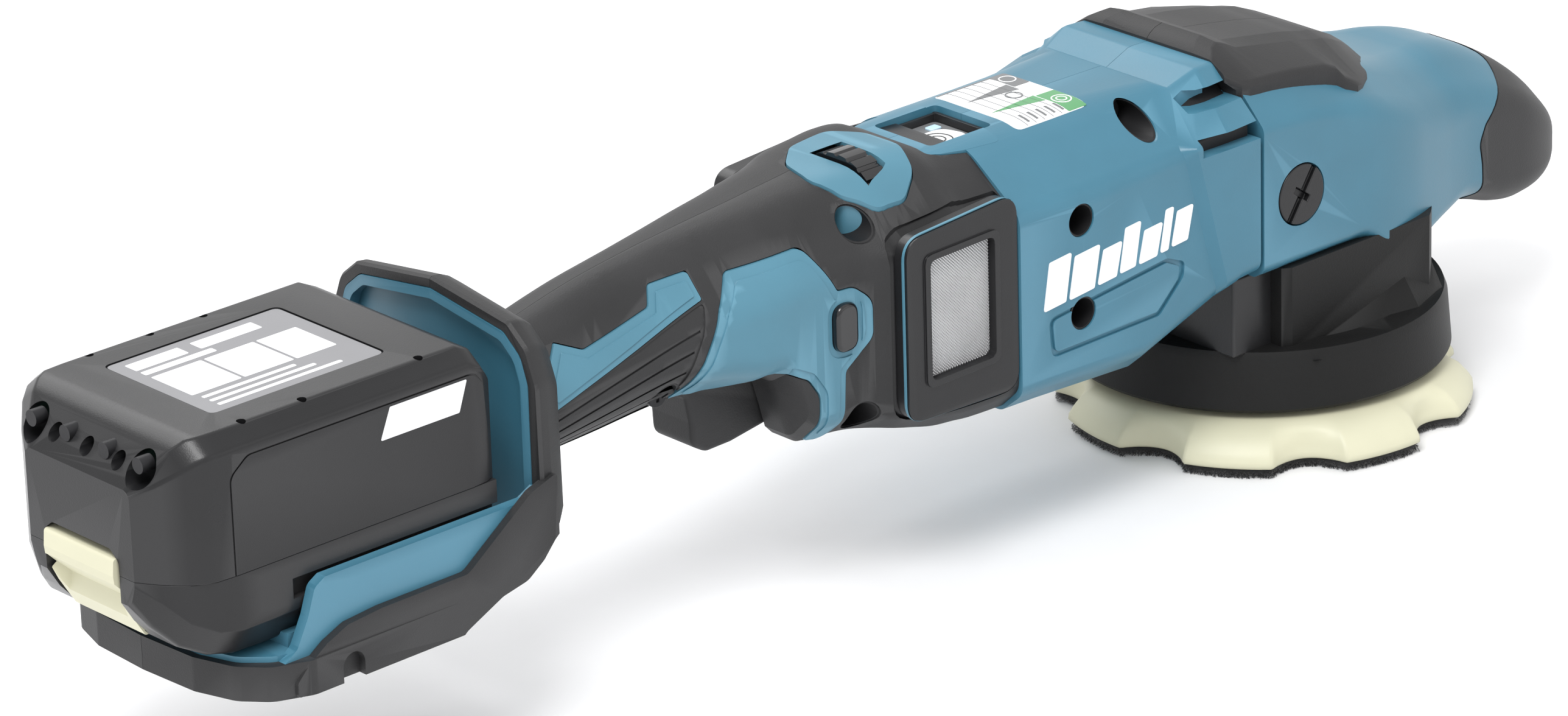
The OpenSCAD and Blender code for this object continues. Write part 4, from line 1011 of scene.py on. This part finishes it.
low_keys = [
    # x, bottom z, bottom half width, half width at the deck
    (-424.0, 73.5, 19.5, 21.5), (-420.4, 67.5, 23, 27.5), (-415.6, 62, 27, 33.2), (-409.0, 58.6, 30, 36.4),
    (-402.0, 57.2, 31.5, 36.9), (-392.0, 57.2, 32, 36.9), (-318.2, 59.8, 32, 36.9),
]


def low_ring(row):
    x, zb, wb, w = row
    zs = min(zb + 8.5, 79.4)
    pts = [(wb, zb), (w, zs), (w, 80.9), (-w, 80.9), (-w, zs), (-wb, zb)]
    return [(x, p.x, p.y) for p in rounded(pts, [3, 1.2, 0.2, 0.2, 1.2, 3], 5)]


low = loft("pack_base", [low_ring(r) for r in low_keys], BLACK)
mill(low, (-440, -15.4, 50), (-416.5, 15.4, 90))
for s in (-1, 1):
    # rail groove that rides on the bay's strips
    lo, hi = flank(s, 34.6, 45)
    mill(low, (-386, lo, 69.0), (-300, hi, 74.6))
place(soften(low, 0.7), "battery", "battery_lower", slot="black_plastic")

film = prism("label_film", rect(-397, -22, -341, 22), 118.2, 118.75, "z", GREYL, 2)
place(soften(film, 0), "battery", "battery_labels", slot="white_label")
for i, (x0, y0, x1, y1) in enumerate(((-393, -9, -377, 8), (-376, -9, -360, 8), (-359, -9, -346, 8),
                                      (-393, 10, -370, 12.5), (-393, 14, -376, 19), (-372, 14, -352, 19),
                                      (-392, -19, -352, -17.6), (-392, -15.8, -358, -14.4),
                                      (-392, -12.6, -362, -11.2))):
    patch = prism(f"label_patch_{i}", rect(x0, y0, x1, y1), 118.7, 118.82, "z", WHITE, 0.5)
    place(soften(patch, 0), "battery", slot="white_label")
for s, tag in ((-1, "near"), (1, "far")):
    band = prism("pack_band_" + tag, [(-355.5, 103), (-329.5, 103), (-326.6, 111.4), (-352, 111.4)],
                 *flank(s, 36.8, 37.12), "y", WHITE, 0.4)
    place(soften(band, 0), "battery", slot="white_label")

button_pts = [(-424.9, 85.2), (-425.3, 80.6), (-424.9, 77.4), (-421.4, 70), (-416.4, 61.8), (-414.6, 61.8),
              (-414.6, 80), (-420.8, 80), (-420.8, 85.6)]
button_radii = [1, 1.5, 1, 3, 0.8, 0.5, 0.5, 0.5, 0.5]
release = prism("release_button_body", button_pts, -14.4, 14.4, "y", CREAM, button_radii)
lip = loft("c", [[(-428, -17, 76.4), (-428, 17, 76.4), (-424.9, 17, 78.4), (-424.9, -17, 78.4)],
                 [(-420, -12, 66.0), (-420, 12, 66.0), (-418.6, 12, 72.0), (-418.6, -12, 72.0)]], DARK)
combine(release, lip)
place(soften(release, 0.5), "release", "release_button", slot="cream_plastic")

# ---------- carried-over CAD nodes keep their shape and get a finish ----------

for name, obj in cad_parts.items():
    if obj.hide_render:
        continue
    # screws take the steel darkened as painted shade
    shaded_screws = name in ("housing_screws", "battery_screws", "gear_screws")
    for material_slot in obj.material_slots:
        key = (material_slot.material.name if material_slot.material else "").split(".")[0]
        material_slot.material = SCREW_SHADE_STEEL if shaded_screws else RECORD_LOOKS.get(key, BLACK)

# ---------- stage ----------

floor = prism("floor", rect(-4000, -4000, 4000, 4000), -40, 0, "z",
              shader("floor_paint", (0.86, 0.86, 0.87), 0.6, grain=300, bump=0.02, mottle=0.01))

world = bpy.data.worlds.new("studio")
bpy.context.scene.world = world
world.use_nodes = True
world.node_tree.nodes["Background"].inputs["Color"].default_value = (1, 1, 1, 1)
world.node_tree.nodes["Background"].inputs["Strength"].default_value = 1.0
bpy.context.scene.view_settings.view_transform = "Standard"


def lamp(name, where, aim, size, power):
    data = bpy.data.lights.new(name, "AREA")
    data.shape = "RECTANGLE"
    data.size, data.size_y = size
    data.energy = power
    obj = bpy.data.objects.new(name, data)
    bpy.context.collection.objects.link(obj)
    obj.location = where
    obj.rotation_euler = (Vector(aim) - Vector(where)).to_track_quat("-Z", "Y").to_euler()


lamp("key", (-0.9, -0.5, 1.5), (-0.15, 0, 0.08), (0.7, 0.7), 20)
lamp("side", (0.5, -1.6, 0.7), (-0.15, 0, 0.08), (1.2, 0.8), 1.5)
lamp("rear", (-0.1, 1.2, 1.3), (-0.15, 0, 0.1), (1.4, 0.6), 10)

# a long lens, high on the battery's right, turned a little about its own axis
az, el, roll = math.radians(48.2573), math.radians(22.3575), math.radians(-1.6971)
look = Vector((math.cos(el) * math.cos(az), math.cos(el) * math.sin(az), -math.sin(el)))
right = look.cross(Vector((0, 0, 1))).normalized()
up = right.cross(look)
rolled_right = right * math.cos(roll) + up * math.sin(roll)
rolled_up = up * math.cos(roll) - right * math.sin(roll)
camera_data = bpy.data.cameras.new("camera")
camera_data.sensor_width = 36
camera_data.lens = 166.843
camera_data.clip_end = 50
camera = bpy.data.objects.new("camera", camera_data)
bpy.context.collection.objects.link(camera)
turn = Matrix((rolled_right, rolled_up, -look)).transposed().to_4x4()
camera.matrix_world = Matrix.Translation(Vector((-1.40859, -1.37162, 0.82050))) @ turn
bpy.context.scene.camera = camera
